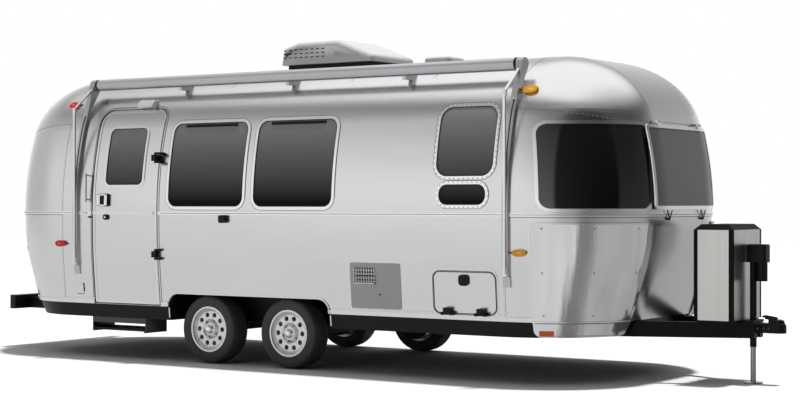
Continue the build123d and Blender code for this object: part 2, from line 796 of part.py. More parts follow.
# Rear bumper on two arms from the underbody
with BuildPart() as rear_bumper:
    bar_low = (BUMPER_REAR, -BUMPER_HALF_WIDTH, BUMPER_BOTTOM)
    bar_high = (BUMPER_REAR + BUMPER_DEPTH, BUMPER_HALF_WIDTH, BUMPER_TOP)
    add(span_box(bar_low, bar_high))
    corner_edges = rear_bumper.edges().filter_by(Axis.Z).group_by(Axis.X)[0]
    fillet(corner_edges, radius=BUMPER_DEPTH / 2)
    for side in side_names:
        y = side * BUMPER_ARM_Y
        add(
            span_box(
                (BUMPER_REAR + BUMPER_DEPTH, y - BUMPER_ARM_WIDTH / 2, BUMPER_BOTTOM),
                (BODY_REAR + BODY_LENGTH / 10, y + BUMPER_ARM_WIDTH / 2, SILL - SKIRT_INSET),
            )
        )
    add(belly_pan.part, mode=Mode.SUBTRACT)
    add(
        span_box((BODY_REAR + SKIRT_ROW[2] + BUMPER_DEPTH, -OUTSIDE, 0), (0, OUTSIDE, CROWN)),
        mode=Mode.SUBTRACT,
    )
finish(rear_bumper.part, "rear_bumper")

# Floor between the walls, cut round the wheel boxes
with BuildPart() as floor:
    add(inside)
    add(span_box((-SPAN, -OUTSIDE, SILL), (SPAN, OUTSIDE, SILL + FLOOR_THICKNESS)), mode=Mode.INTERSECT)
    for side in side_names:
        edge, rim = side * (WELL_INNER_Y - WELL_SHEET), side * OUTSIDE
        low = (ARCH_REAR - WELL_SHEET, min(edge, rim), 0)
        high = (ARCH_FRONT + WELL_SHEET, max(edge, rim), CROWN)
        add(span_box(low, high), mode=Mode.SUBTRACT)
finish(floor.part, "floor")

# Wheel boxes: sheet housings over the wheels inside the cabin
wheel_box_solids = []
for side in side_names:
    edge, rim = side * WELL_INNER_Y, side * OUTSIDE
    sheet = side * WELL_SHEET
    outer_low = (ARCH_REAR - WELL_SHEET, min(edge - sheet, rim), SILL)
    outer_high = (ARCH_FRONT + WELL_SHEET, max(edge - sheet, rim), WELL_TOP + WELL_SHEET)
    with BuildPart() as wheel_box:
        add(span_box(outer_low, outer_high))
        add(
            span_box((ARCH_REAR, min(edge, rim), SILL), (ARCH_FRONT, max(edge, rim), WELL_TOP)),
            mode=Mode.SUBTRACT,
        )
        add(inside, mode=Mode.INTERSECT)
    wheel_box_solids += wheel_box.part.solids()
finish(Compound(wheel_box_solids), "wheel_boxes")

# Axles: a tube under the pan, a trailing arm and a spindle for each wheel
wheel_xs = {"rear": WHEEL_MIDDLE - AXLE_SPACING / 2, "front": WHEEL_MIDDLE + AXLE_SPACING / 2}
ARM_OUTER_Y = ARM_INNER_Y + ARM_THICKNESS
RIM_OUTER_Y = TYRE_OUTER_Y - (TYRE_WIDTH - RIM_WIDTH) / 2
DISC_OUTER_Y = RIM_OUTER_Y - 45
DISC_THICKNESS = 22.0
tube_z = SKIRT_BOTTOM - AXLE_TUBE / 2
axle_solids = []
for wheel_x in wheel_xs.values():
    tube_x = wheel_x + ARM_LENGTH
    with BuildPart() as axle:
        with Locations((tube_x, 0, tube_z)):
            Box(AXLE_TUBE, 2 * ARM_INNER_Y, AXLE_TUBE)
        for side in side_names:
            arm_plane = Plane(origin=(0, side * ARM_INNER_Y, 0), x_dir=(1, 0, 0), z_dir=(0, side, 0))
            with BuildSketch(arm_plane):
                with Locations((wheel_x, -side * TYRE_RADIUS), (tube_x, -side * tube_z)):
                    Circle(ARM_HEIGHT / 2)
                make_hull()
            extrude(amount=ARM_THICKNESS)
            add(
                rod(
                    (wheel_x, side * ARM_OUTER_Y, TYRE_RADIUS),
                    (wheel_x, side * DISC_OUTER_Y, TYRE_RADIUS),
                    SPINDLE_RADIUS,
                )
            )
    axle_solids += axle.part.solids()
finish(Compound(axle_solids), "axles")

# Wheels: tyre and pressed rim for each corner
SIDEWALL_INNER = RIM_RADIUS - 18
SHOULDER = 26.0
BULGE = 12.0
for side, side_name in side_names.items():
    for axle_name, wheel_x in wheel_xs.items():
        outer = TYRE_OUTER_Y
        inner = TYRE_OUTER_Y - TYRE_WIDTH
        hub_plane = Plane(origin=(wheel_x, 0, TYRE_RADIUS), x_dir=(0, side, 0), z_dir=(1, 0, 0))
        if side < 0:
            hub_plane = Plane(origin=(wheel_x, 0, TYRE_RADIUS), x_dir=(0, -1, 0), z_dir=(-1, 0, 0))
        hub_axis = Axis((wheel_x, 0, TYRE_RADIUS), (0, 1, 0))
        mid_height = (TYRE_RADIUS + RIM_RADIUS) / 2
        with BuildPart() as tyre:
            with BuildSketch(hub_plane):
                with BuildLine():
                    Polyline(
                        (inner + BULGE, RIM_RADIUS),
                        (inner, mid_height),
                        (inner + BULGE, TYRE_RADIUS - SHOULDER / 2),
                        (inner + SHOULDER + BULGE, TYRE_RADIUS),
                        (outer - SHOULDER - BULGE, TYRE_RADIUS),
                        (outer - BULGE, TYRE_RADIUS - SHOULDER / 2),
                        (outer, mid_height),
                        (outer - BULGE, RIM_RADIUS),
                        close=True,
                    )
                make_face()
            revolve(axis=hub_axis)
        finish(tyre.part, f"tyre_{side_name}_{axle_name}")
        rim_inner = RIM_OUTER_Y - RIM_WIDTH
        barrel = SIDEWALL_INNER
        with BuildPart() as rim:
            with BuildSketch(hub_plane):
                with BuildLine():
                    Polyline(
                        (rim_inner, RIM_RADIUS),
                        (RIM_OUTER_Y, RIM_RADIUS),
                        (RIM_OUTER_Y, barrel),
                        (RIM_OUTER_Y - 30, barrel - 8),
                        (DISC_OUTER_Y, barrel - 14),
                        (DISC_OUTER_Y + 14, RIM_HOLE_CIRCLE + RIM_HOLE_RADIUS + 8),
                        (DISC_OUTER_Y + 14, 90),
                        (DISC_OUTER_Y, 70),
                        (DISC_OUTER_Y + 24, 58),
                        (DISC_OUTER_Y + 30, 0),
                        (DISC_OUTER_Y + 4, 0),
                        (DISC_OUTER_Y + 4, SPINDLE_RADIUS + SPINDLE_GAP),
                        (ARM_OUTER_Y + 6, SPINDLE_RADIUS + SPINDLE_GAP),
                        (ARM_OUTER_Y + 6, DRUM_RADIUS),
                        (ARM_OUTER_Y + 6 + DRUM_DEPTH, DRUM_RADIUS),
                        (ARM_OUTER_Y + 6 + DRUM_DEPTH, 60),
                        (DISC_OUTER_Y - DISC_THICKNESS, 60),
                        (DISC_OUTER_Y - DISC_THICKNESS, barrel - 14),
                        (rim_inner, barrel - 14),
                        close=True,
                    )
                make_face()
            revolve(axis=hub_axis)
            hole_plane = Plane(
                origin=(wheel_x, side * (DISC_OUTER_Y - DISC_THICKNESS), TYRE_RADIUS),
                x_dir=(1, 0, 0),
                z_dir=(0, side, 0),
            )
            with BuildSketch(hole_plane):
                with PolarLocations(RIM_HOLE_CIRCLE, RIM_HOLES):
                    Circle(RIM_HOLE_RADIUS)
            extrude(amount=2 * DISC_THICKNESS, mode=Mode.SUBTRACT)
        finish(rim.part, f"rim_{side_name}_{axle_name}")


def pin_hinge(centre, axis_dir, barrel_radius=BARREL_RADIUS, pin_radius=PIN_RADIUS):
    """The two halves of a pin hinge: a pin between lugs, and a barrel that turns on it."""
    along = Vector(*axis_dir)
    middle = Vector(*centre)
    reach = HINGE_LENGTH / 2
    barrel_reach = reach - HINGE_LUG - HINGE_SIDE_GAP

    def bar(low, high, radius):
        return rod(tuple(middle + along * low), tuple(middle + along * high), radius)

    with BuildPart() as pin:
        add(bar(-reach, reach, pin_radius))
        add(bar(-reach, HINGE_LUG - reach, barrel_radius))
        add(bar(reach - HINGE_LUG, reach, barrel_radius))
    with BuildPart() as barrel:
        add(bar(-barrel_reach, barrel_reach, barrel_radius))
    bore = bar(-reach, reach, pin_radius + PIN_GAP)
    return pin.part, barrel.part, bore


def hinge_webs(centre, axis_index, low, high):
    """Blocks beside a hinge between two corners: one by each lug, and one by the barrel."""
    reach = HINGE_LENGTH / 2
    barrel_reach = reach - HINGE_LUG - HINGE_SIDE_GAP

    def block(start, end):
        corner_low, corner_high = list(low), list(high)
        corner_low[axis_index] = centre[axis_index] + start
        corner_high[axis_index] = centre[axis_index] + end
        return span_box(corner_low, corner_high)

    lugs = [block(-reach, HINGE_LUG - reach), block(reach - HINGE_LUG, reach)]
    return lugs, block(-barrel_reach, barrel_reach)


# Entry door, hinged at its front edge on two pins outboard of the belt
door_hinge_x = DOOR_FRONT + DOOR_GAP / 2
door_hinge_y = -(BELT_HALF_WIDTH + DOOR_HINGE_OUT)
door_skin = body_skin(0.0, -DOOR_THICKNESS)


def door_window(grow):
    """The door window's outline."""
    return side_prism(-1, *DOOR_WINDOW[1:], grow=grow)


hinge_pins = []
door_hinge_barrels = []
for height in DOOR_HINGE_HEIGHTS:
    centre = (door_hinge_x, door_hinge_y, height)
    pin, barrel, bore = pin_hinge(centre, (0, 0, 1))
    lugs, _ = hinge_webs(
        centre,
        2,
        (door_hinge_x, door_hinge_y - PIN_RADIUS, 0),
        (door_hinge_x + HINGE_WEB, -INSIDE, 0),
    )
    _, web = hinge_webs(
        centre,
        2,
        (door_hinge_x - HINGE_WEB, door_hinge_y - PIN_RADIUS, 0),
        (door_hinge_x, -INSIDE, 0),
    )
    hinge_pins += joined(pin, *[on_skin(lug) for lug in lugs]).solids()
    with BuildPart() as leaf_half:
        add(barrel)
        add(on_skin(web))
        add(bore, mode=Mode.SUBTRACT)
    door_hinge_barrels += leaf_half.part.solids()

with BuildPart() as door_leaf:
    add(door_skin)
    add(door_outline, mode=Mode.INTERSECT)
    add(door_window(FRAME_WIDTH), mode=Mode.SUBTRACT)
finish(door_leaf.part, "door_leaf")
with BuildPart() as door_trim:
    add(window_frame(door_window))
    add(
        layer_piece(
            rail_layer,
            span_box(
                (DOOR_REAR, -OUTSIDE, BELT_RAIL_BOTTOM),
                (DOOR_FRONT - HINGE_WEB, -INSIDE, BELT_RAIL_TOP),
            ),
        )
    )
finish(door_trim.part, "door_trim")
finish(window_glass(door_window), "door_glass")


def oval_on_skin(side, x, z, length, height, proud):
    """An oval lamp or boss standing on a side of the body."""
    with BuildPart() as oval:
        with BuildSketch(side_plane(side)):
            with Locations((x, -side * z)):
                Ellipse(length / 2, height / 2)
        extrude(amount=OUTSIDE - INSIDE)
    return on_skin(oval.part, proud)


def plate_on_skin(side, x, z, length, height, radius, proud):
    """A rounded plate standing on a side of the body."""
    outline = side_prism(
        side, x - length / 2, x + length / 2, z - height / 2, z + height / 2, radius
    )
    return on_skin(outline, proud)


handle_plate = plate_on_skin(
    -1, HANDLE_X, HANDLE_Z, HANDLE_LENGTH, HANDLE_HEIGHT, HANDLE_HEIGHT / 5, HANDLE_PROUD / 2
)
handle_paddle = plate_on_skin(
    -1,
    HANDLE_X,
    HANDLE_Z,
    HANDLE_LENGTH * 0.7,
    HANDLE_HEIGHT * 0.6,
    HANDLE_HEIGHT / 6,
    HANDLE_PROUD,
)
door_lock = oval_on_skin(-1, LOCK_X, LOCK_Z, 2 * LOCK_RADIUS, 2 * LOCK_RADIUS, LOCK_PROUD)
door_handle = joined(handle_plate, handle_paddle).solids()
finish(Compound([*door_handle, *door_lock.solids(), *door_hinge_barrels]), "door_fittings")

# Access hatch, hinged along its bottom edge
with BuildPart() as hatch_leaf:
    add(door_skin)
    add(hatch_outline, mode=Mode.INTERSECT)
hatch_hinge_z = HATCH_BOTTOM - HATCH_GAP / 2
hatch_hinge_y = hatch_leaf.part.bounding_box().min.Y - HATCH_HINGE_OUT
hatch_hinge_barrels = []
for x in (HATCH_REAR + HATCH_HINGE_INSET, HATCH_FRONT - HATCH_HINGE_INSET):
    centre = (x, hatch_hinge_y, hatch_hinge_z)
    pin, barrel, bore = pin_hinge(centre, (1, 0, 0))
    lugs, _ = hinge_webs(
        centre,
        0,
        (0, hatch_hinge_y - PIN_RADIUS, SILL + SILL_RAIL_HEIGHT),
        (0, -INSIDE, hatch_hinge_z),
    )
    _, web = hinge_webs(
        centre,
        0,
        (0, hatch_hinge_y - PIN_RADIUS, hatch_hinge_z),
        (0, -INSIDE, hatch_hinge_z + HINGE_WEB),
    )
    hinge_pins += joined(pin, *[on_skin(lug) for lug in lugs]).solids()
    with BuildPart() as leaf_half:
        add(barrel)
        add(on_skin(web))
        add(bore, mode=Mode.SUBTRACT)
    hatch_hinge_barrels += leaf_half.part.solids()
finish(hatch_leaf.part, "hatch_leaf")
hatch_middle = (HATCH_REAR + HATCH_FRONT) / 2
hatch_lock = plate_on_skin(
    -1,
    hatch_middle,
    HATCH_TOP - HATCH_LOCK_SIZE * 0.7,
    HATCH_LOCK_SIZE,
    HATCH_LOCK_SIZE,
    HATCH_LOCK_SIZE / 3,
    HATCH_LOCK_PROUD,
)
finish(Compound([*hatch_lock.solids(), *hatch_hinge_barrels]), "hatch_fittings")
finish(Compound(hinge_pins), "hinge_pins")

# Heater panel, a flat plate with pressed louvres in the curb wall
with BuildPart() as heater_panel:
    add(body_skin(HEATER_PROUD, -DOOR_THICKNESS))
    add(heater_outline, mode=Mode.INTERSECT)
    for row in range(LOUVRES):
        z = LOUVRE_FIRST_Z + row * LOUVRE_PITCH
        slot = side_prism(
            -1,
            LOUVRE_X - LOUVRE_LENGTH / 2,
            LOUVRE_X + LOUVRE_LENGTH / 2,
            z - LOUVRE_HEIGHT / 2,
            z + LOUVRE_HEIGHT / 2,
            LOUVRE_HEIGHT / 2 - 1,
        )
        add(slot, mode=Mode.SUBTRACT)
finish(heater_panel.part, "heater_panel")

# Stone guards: polished sheets that stand on studs round the lower front corners
guard_rows = [SKIRT_ROW, *LOWER_ROWS]
guard_outer = body_rows(STONE_GUARD_OUT + STONE_GUARD_SHEET, guard_rows)
guard_inner = body_rows(STONE_GUARD_OUT, guard_rows)
stud_zs = (SILL + 2 * STONE_GUARD_RADIUS, STONE_GUARD_TOP - STONE_GUARD_RADIUS)
guard_solids = []
for side in side_names:
    rear_edge = (STONE_GUARD_REAR_X, 2 * BODY_FRONT, STONE_GUARD_BOTTOM, STONE_GUARD_TOP)
    with BuildPart() as inner_edge:
        with BuildSketch(Plane.YZ):
            with Locations((side * (STONE_GUARD_INNER_Y + OUTSIDE / 2), (STONE_GUARD_BOTTOM + STONE_GUARD_TOP) / 2)):
                RectangleRounded(OUTSIDE, STONE_GUARD_TOP - STONE_GUARD_BOTTOM, STONE_GUARD_RADIUS)
        extrude(amount=BODY_LENGTH)
    with BuildPart() as sheet:
        add(guard_outer)
        add(guard_inner, mode=Mode.SUBTRACT)
        add(side_prism(side, *rear_edge, STONE_GUARD_RADIUS), mode=Mode.INTERSECT)
        add(inner_edge.part, mode=Mode.INTERSECT)
    with BuildPart() as studs:
        for z in stud_zs:
            x = STONE_GUARD_REAR_X + STONE_GUARD_RADIUS
            y = side * (STONE_GUARD_INNER_Y + STONE_GUARD_RADIUS)
            add(rod((x, side * INSIDE, z), (x, side * OUTSIDE, z), STONE_GUARD_STUD / 2))
            add(rod((BODY_FRONT / 2, y, z), (2 * BODY_FRONT, y, z), STONE_GUARD_STUD / 2))
        add(guard_inner, mode=Mode.INTERSECT)
        add(outside, mode=Mode.SUBTRACT)
    guard_solids += joined(sheet.part, studs.part).solids()
finish(Compound(guard_solids), "stone_guards")

# Hinged guard over the front centre window: a tinted sheet in a frame, hung from its top edge
guard_face = (WINDOW_GUARD_BOTTOM, WINDOW_GUARD_TOP, WINDOW_GUARD_RADIUS)
guard_frame_out = WINDOW_GUARD_OUT + WINDOW_GUARD_SHEET + WINDOW_GUARD_FRAME_PROUD
front_outline = end_prism(1, WINDOW_GUARD_HALF_WIDTH, *guard_face)
sheet_outline = end_prism(1, WINDOW_GUARD_HALF_WIDTH, *guard_face, grow=-WINDOW_GUARD_FRAME)
with BuildPart() as window_guard_sheet:
    add(body_skin(WINDOW_GUARD_OUT + WINDOW_GUARD_SHEET, WINDOW_GUARD_OUT))
    add(sheet_outline, mode=Mode.INTERSECT)
finish(window_guard_sheet.part, "window_guard_sheet")
with BuildPart() as guard_frame:
    add(body_skin(guard_frame_out, WINDOW_GUARD_OUT))
    add(front_outline, mode=Mode.INTERSECT)
    add(sheet_outline, mode=Mode.SUBTRACT)
finish(guard_frame.part, "window_guard_frame")
guard_hinge_z = WINDOW_GUARD_TOP + WINDOW_GUARD_HINGE_RISE
guard_top_face = guard_frame.faces().sort_by(Axis.Z)[-1]
guard_hinge_x = guard_top_face.bounding_box().max.X + WINDOW_GUARD_BARREL
guard_pins = []
guard_hinges = []
for side in side_names:
    centre = (guard_hinge_x, side * WINDOW_GUARD_HINGE_Y, guard_hinge_z)
    pin, barrel, bore = pin_hinge(centre, (0, 1, 0), WINDOW_GUARD_BARREL, WINDOW_GUARD_PIN)
    lugs, _ = hinge_webs(
        centre,
        1,
        (BODY_FRONT / 2, 0, guard_hinge_z),
        (guard_hinge_x + WINDOW_GUARD_PIN, 0, guard_hinge_z + WINDOW_GUARD_LUG),
    )
    _, strap = hinge_webs(
        centre,
        1,
        (BODY_FRONT / 2, 0, WINDOW_GUARD_TOP - WINDOW_GUARD_FRAME / 2),
        (guard_hinge_x + WINDOW_GUARD_PIN, 0, guard_hinge_z),
    )
    guard_pins += joined(pin, *[on_skin(lug) for lug in lugs]).solids()
    with BuildPart() as guard_half:
        add(strap)
        add(body_solid(guard_frame_out), mode=Mode.SUBTRACT)
        add(barrel)
        add(bore, mode=Mode.SUBTRACT)
    guard_hinges += guard_half.part.solids()
finish(Compound(guard_pins), "window_guard_pins")
finish(Compound(guard_hinges), "window_guard_hinges")

# Awning: a rolled tube on cradles, and an arm of two strips down the wall at each end
with BuildPart() as awning_roller:
    add(rod((AWNING_REAR, AWNING_Y, AWNING_Z), (AWNING_FRONT, AWNING_Y, AWNING_Z), AWNING_RADIUS))
finish(awning_roller.part, "awning_roller")
awning_solids = []
for x, outward in ((AWNING_REAR, -1), (AWNING_FRONT, 1)):
    strips = []
    for offset in (-ARM_STRIP_PITCH / 2, ARM_STRIP_PITCH / 2):
        strip_x = x + outward * (AWNING_CAP + offset)
        low = (strip_x - ARM_STRIP / 2, -OUTSIDE, ARM_BOTTOM)
        high = (strip_x + ARM_STRIP / 2, -INSIDE, ARM_BEND)
        with BuildPart() as strip:
            add(on_skin(span_box(low, high), ARM_PROUD))
            add(belt_rail.part, mode=Mode.SUBTRACT)
        strips.append(strip.part)
    arm_x = x + outward * AWNING_CAP
    with BuildPart() as link:
        with BuildSketch(Plane(origin=(x, 0, 0), x_dir=(0, 1, 0), z_dir=(outward, 0, 0))) as link_sketch:
            with Locations((AWNING_Y, outward * AWNING_Z)):
                Circle(AWNING_RADIUS)
            with Locations((-body_half_width(ARM_BEND - ARM_LINK) - ARM_PROUD / 2, outward * (ARM_BEND - ARM_LINK))):
                Circle(ARM_PROUD / 2)
            make_hull()
        extrude(amount=AWNING_CAP + ARM_STRIP_PITCH / 2 + ARM_STRIP / 2)
        add(outside, mode=Mode.SUBTRACT)
    foot = on_skin(
        span_box(
            (arm_x - ARM_STRIP_PITCH, -OUTSIDE, ARM_BOTTOM - 2 * ARM_LINK),
            (arm_x + ARM_STRIP_PITCH, -INSIDE, ARM_BOTTOM),
        ),
        ARM_PROUD / 2,
    )
    awning_solids += joined(link.part, foot, *strips).solids()
for x in CRADLE_XS:
    low = (x - CRADLE_LENGTH / 2, AWNING_Y - AWNING_RADIUS / 4, CRADLE_BOTTOM)
    high = (x + CRADLE_LENGTH / 2, AWNING_Y + 4 * AWNING_RADIUS, CRADLE_TOP)
    with BuildPart() as cradle:
        add(on_skin(span_box(low, high)))
        add(awning_roller.part, mode=Mode.SUBTRACT)
    awning_solids += cradle.part.solids()
finish(Compound(awning_solids), "awning_arms")

# Roof: air conditioner on its base, and a vent
with BuildPart() as ac_base:
    low = (AC_REAR + AC_BASE_INSET, AC_BASE_INSET - AC_HALF_WIDTH, CROWN - WALL)
    high = (AC_FRONT - AC_BASE_INSET, AC_HALF_WIDTH - AC_BASE_INSET, AC_BASE_TOP)
    add(on_skin(span_box(low, high)))
finish(ac_base.part, "ac_base")
ac_points = [
    (AC_REAR + along * (AC_FRONT - AC_REAR), AC_BASE_TOP + up * (AC_TOP - AC_BASE_TOP))
    for along, up in AC_OUTLINE
]
with BuildPart() as ac_shroud:
    with BuildSketch(Plane.XZ.offset(-AC_HALF_WIDTH)) as ac_side:
        with BuildLine():
            Polyline(*ac_points, close=True)
        make_face()
        fillet(ac_side.vertices().filter_by(lambda v: v.Y > AC_BASE_TOP), AC_BEND / 2)
    extrude(amount=2 * AC_HALF_WIDTH)
    side_faces = ac_shroud.faces().filter_by(Axis.Y)
    foot = ac_shroud.faces().sort_by(Axis.Z)[0].edges()
    fillet([edge for edge in side_faces.edges() if edge not in foot], AC_EDGE)
finish(ac_shroud.part, "ac_shroud")
with BuildPart() as roof_vent:
    low = (VENT_X - VENT_SIZE / 2, -VENT_SIZE / 2, CROWN - WALL)
    high = (VENT_X + VENT_SIZE / 2, VENT_SIZE / 2, VENT_TOP)
    add(on_skin(span_box(low, high)))
    fillet(roof_vent.edges().filter_by(Axis.Z), WALL)
    fillet(roof_vent.faces().sort_by(Axis.Z)[-1].edges(), (VENT_TOP - CROWN) / 3)
finish(roof_vent.part, "roof_vent")

# Entry step: side plates under the door, and a tread that slides out between them
step_tread_bottom = STEP_BOTTOM + STEP_LEDGE_HEIGHT
with BuildPart() as step_frame:
    for x, inward in ((STEP_REAR, 1), (STEP_FRONT, -1)):
        plate = sorted((x, x + inward * STEP_PLATE))
        ledge = sorted((x, x + inward * STEP_LEDGE))
        add(span_box((plate[0], STEP_OUTER_Y, STEP_BOTTOM), (plate[1], STEP_INNER_Y, SKIRT_BOTTOM)))
        add(span_box((ledge[0], STEP_OUTER_Y, STEP_BOTTOM), (ledge[1], STEP_INNER_Y, step_tread_bottom)))
    bar_low = (STEP_REAR, STEP_OUTER_Y, SKIRT_BOTTOM - STEP_BAR)
    bar_high = (STEP_FRONT, STEP_OUTER_Y + STEP_BAR, SKIRT_BOTTOM)
    add(span_box(bar_low, bar_high))
finish(step_frame.part, "step_frame")
with BuildPart() as step_tread:
    tread_rear = STEP_REAR + STEP_PLATE + STEP_GAP
    tread_front = STEP_FRONT - STEP_PLATE - STEP_GAP
    low = (tread_rear, STEP_OUTER_Y, step_tread_bottom)
    high = (tread_front, STEP_INNER_Y, step_tread_bottom + STEP_TREAD_HEIGHT)
    add(span_box(low, high))
    fillet(step_tread.edges().filter_by(Axis.X).group_by(Axis.Y)[0], STEP_TREAD_HEIGHT / 3)
finish(step_tread.part, "step_tread")

# Lamps on the skin
tail_lamps = []
for side in side_names:
    with BuildPart() as tail_lamp:
        with BuildSketch(Plane(origin=(BODY_MIDDLE, 0, 0), x_dir=(0, 1, 0), z_dir=(-1, 0, 0))):
            with Locations((side * TAIL_LAMP_Y, -TAIL_LAMP_Z)):
                Ellipse(TAIL_LAMP_LENGTH / 2, TAIL_LAMP_HEIGHT / 2)
        extrude(amount=BODY_LENGTH)
    tail_lamps += on_skin(tail_lamp.part, MARKER_PROUD).solids()
for name, markers, extra in (
    ("lamps_red", RED_MARKERS, tail_lamps),
    ("lamps_amber", AMBER_MARKERS, []),
):
    lamps = [
        solid
        for side in side_names
        for x, z, length, height in markers
        for solid in oval_on_skin(side, x, z, length, height, MARKER_PROUD).solids()
    ]
    finish(Compound([*lamps, *extra]), name)

# Small fittings on the curb wall: grab handle, door catch and porch lamp
grab_y = -body_half_width((GRAB_BOTTOM + GRAB_TOP) / 2) - GRAB_OUT
grab_bar = [rod((GRAB_X, grab_y, GRAB_BOTTOM), (GRAB_X, grab_y, GRAB_TOP), GRAB_RADIUS)]
for z in (GRAB_BOTTOM + 2 * GRAB_RADIUS, GRAB_TOP - 2 * GRAB_RADIUS):
    foot = rod((GRAB_X, -INSIDE, z), (GRAB_X, grab_y, z), GRAB_FOOT_RADIUS)
    grab_bar.append(on_skin(foot))
finish(joined(*grab_bar), "grab_handle")
door_catch = plate_on_skin(
    -1, CATCH_X, CATCH_Z, CATCH_SIZE, CATCH_SIZE, CATCH_SIZE / 4, CATCH_PROUD
)
finish(door_catch, "door_catch")
porch_lamp = plate_on_skin(
    -1, PORCH_X, PORCH_Z, PORCH_LENGTH, PORCH_HEIGHT, PORCH_HEIGHT / 3, PORCH_PROUD
)
finish(porch_lamp, "porch_lamp")
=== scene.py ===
"""Looks of a twin-axle travel caravan: finishes, rivets, seams, tyres, small fittings and a studio.

Everything is in metres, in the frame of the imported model: +X forward to the coupler, +Y to the
street side, -Y to the curb side with the door, +Z up, and the ground at z = 0.
"""
from __future__ import annotations

import json
import logging
import math
from collections.abc import Iterable, Iterator, Sequence
from contextlib import contextmanager
from dataclasses import dataclass, field
from enum import Enum

import bmesh
import bpy
from mathutils import Matrix, Vector
from mathutils.bvhtree import BVHTree

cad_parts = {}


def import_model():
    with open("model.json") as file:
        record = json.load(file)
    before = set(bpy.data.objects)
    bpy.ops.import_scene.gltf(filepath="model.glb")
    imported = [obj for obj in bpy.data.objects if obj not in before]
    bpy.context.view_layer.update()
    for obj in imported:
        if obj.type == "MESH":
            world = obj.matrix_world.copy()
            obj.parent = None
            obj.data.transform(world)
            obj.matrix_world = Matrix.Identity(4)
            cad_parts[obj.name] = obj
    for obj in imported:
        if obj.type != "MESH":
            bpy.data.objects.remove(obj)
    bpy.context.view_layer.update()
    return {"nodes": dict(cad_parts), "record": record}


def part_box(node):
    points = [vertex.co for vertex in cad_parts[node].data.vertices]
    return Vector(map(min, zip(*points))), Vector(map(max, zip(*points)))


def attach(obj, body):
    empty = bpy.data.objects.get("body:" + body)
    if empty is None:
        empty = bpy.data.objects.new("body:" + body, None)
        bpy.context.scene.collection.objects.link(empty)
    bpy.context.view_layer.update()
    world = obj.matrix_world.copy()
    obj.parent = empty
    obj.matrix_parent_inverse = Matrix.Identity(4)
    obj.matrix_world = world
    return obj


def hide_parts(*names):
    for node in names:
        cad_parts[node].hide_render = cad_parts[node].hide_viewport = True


LOG = logging.getLogger("caravan")
IMAGE_WIDTH = 800
IMAGE_HEIGHT = 400
CURB = -1
STREET = 1
FRONT = 1
REAR = -1
SIDES = ((CURB, "curb"), (STREET, "street"))
BODY = "body"
DOOR_BODY = "door"
WHITE = (1.0, 1.0, 1.0, 1.0)
# A side wall lies at least this far out, and a hit nearer to the middle went through an opening
WALL_LEAST_Y = 0.9
# Closer than this, two corners of a CAD mesh are one
WELD_DISTANCE = 0.00002
# The same for the corners of a turned piece
MERGE_DISTANCE = 1e-6
# A bar whose direction departs from X by less than this sine lies along X
ALONG_X = 0.05
# Sharpest angle of the CAD nodes that still looks smooth, and of the small turned pieces, in degrees
SMOOTH_ANGLE = 28.0
TURNED_ANGLE = 35.0
SOFT_EDGE_STEPS = 3
SOFT_EDGE_ANGLE = 50.0
SHELL_NODES = (
    "curb_wall", "street_wall", "roof_panel", "front_dome", "rear_dome", "front_centre",
    "rear_centre", "front_corners", "rear_corners",
)

Hit = tuple[Vector, Vector]
Colour = tuple[float, float, float]
Place = tuple[float, float, float]
Point = tuple[float, float]
# A direction, its reach, and the brightness at both ends of that
Fade = tuple[Place, Point, Point]
Source = bpy.types.NodeSocket | float | Sequence[float]


class Grain(Enum):
    """How the surface of a finish varies."""

    ROLLED = "rolled sheet"
    BRUSHED = "brushed"
    CAST = "cast or moulded"
    # A painted reflection: the colour fades with height
    SHADED = "darker towards the bottom"


@dataclass
class Wiring:
    """The nodes of a material, a node group or the world, and the links between them."""

    tree: bpy.types.NodeTree

    def node(
        self, kind: str, sources: dict[str | int, Source] | None = None, **settings: object
    ) -> bpy.types.Node:
        """Add a node.

        Args:
            kind: Its type, without the word that all shader nodes share.
            sources: What feeds its inputs.
            settings: Its own settings, such as an operation.

        Returns:
            The node.
        """
        made = self.tree.nodes.new(f"ShaderNode{kind}")
        for name, value in settings.items():
            setattr(made, name, value)
        self.feed(made, sources or {})
        return made

    def feed(self, node: bpy.types.Node, sources: dict[str | int, Source]) -> None:
        """Feed a node's inputs.

        Args:
            node: The node.
            sources: A socket of another node or a plain value for each input.
        """
        for key, source in sources.items():
            if isinstance(source, bpy.types.NodeSocket):
                self.tree.links.new(source, node.inputs[key])
            else:
                node.inputs[key].default_value = source

    def math(
        self, operation: str, one: bpy.types.NodeSocket, other: bpy.types.NodeSocket
    ) -> bpy.types.NodeSocket:
        """The result of an operation on two sockets."""
        return self.node("Math", {0: one, 1: other}, operation=operation).outputs[0]


class SurfaceGroup:
    """A shader node group, with its sockets by name and kind."""

    NAME = ""
    INPUTS: dict[str, str] = {}
    OUTPUTS: dict[str, str] = {}

    @classmethod
    def get(cls) -> bpy.types.ShaderNodeTree:
        """The group, built on first use.

        Returns:
            The node group.
        """
        found = bpy.data.node_groups.get(cls.NAME)
        if found:
            return found
        group = bpy.data.node_groups.new(cls.NAME, "ShaderNodeTree")
        for way, sockets in (("INPUT", cls.INPUTS), ("OUTPUT", cls.OUTPUTS)):
            for name, kind in sockets.items():
                group.interface.new_socket(name, in_out=way, socket_type=f"NodeSocket{kind}")
        given = group.nodes.new("NodeGroupInput").outputs
        wires = Wiring(group)
        wires.feed(group.nodes.new("NodeGroupOutput"), cls.results(wires, given))
        return group

    @classmethod
    def results(cls, wires: Wiring, given: bpy.types.NodeOutputs) -> dict[str, bpy.types.NodeSocket]:
        """What feeds the group's outputs.

        Args:
            wires: The group's wiring.
            given: The sockets of the group's inputs.

        Returns:
            A socket for each output.
        """
        raise NotImplementedError


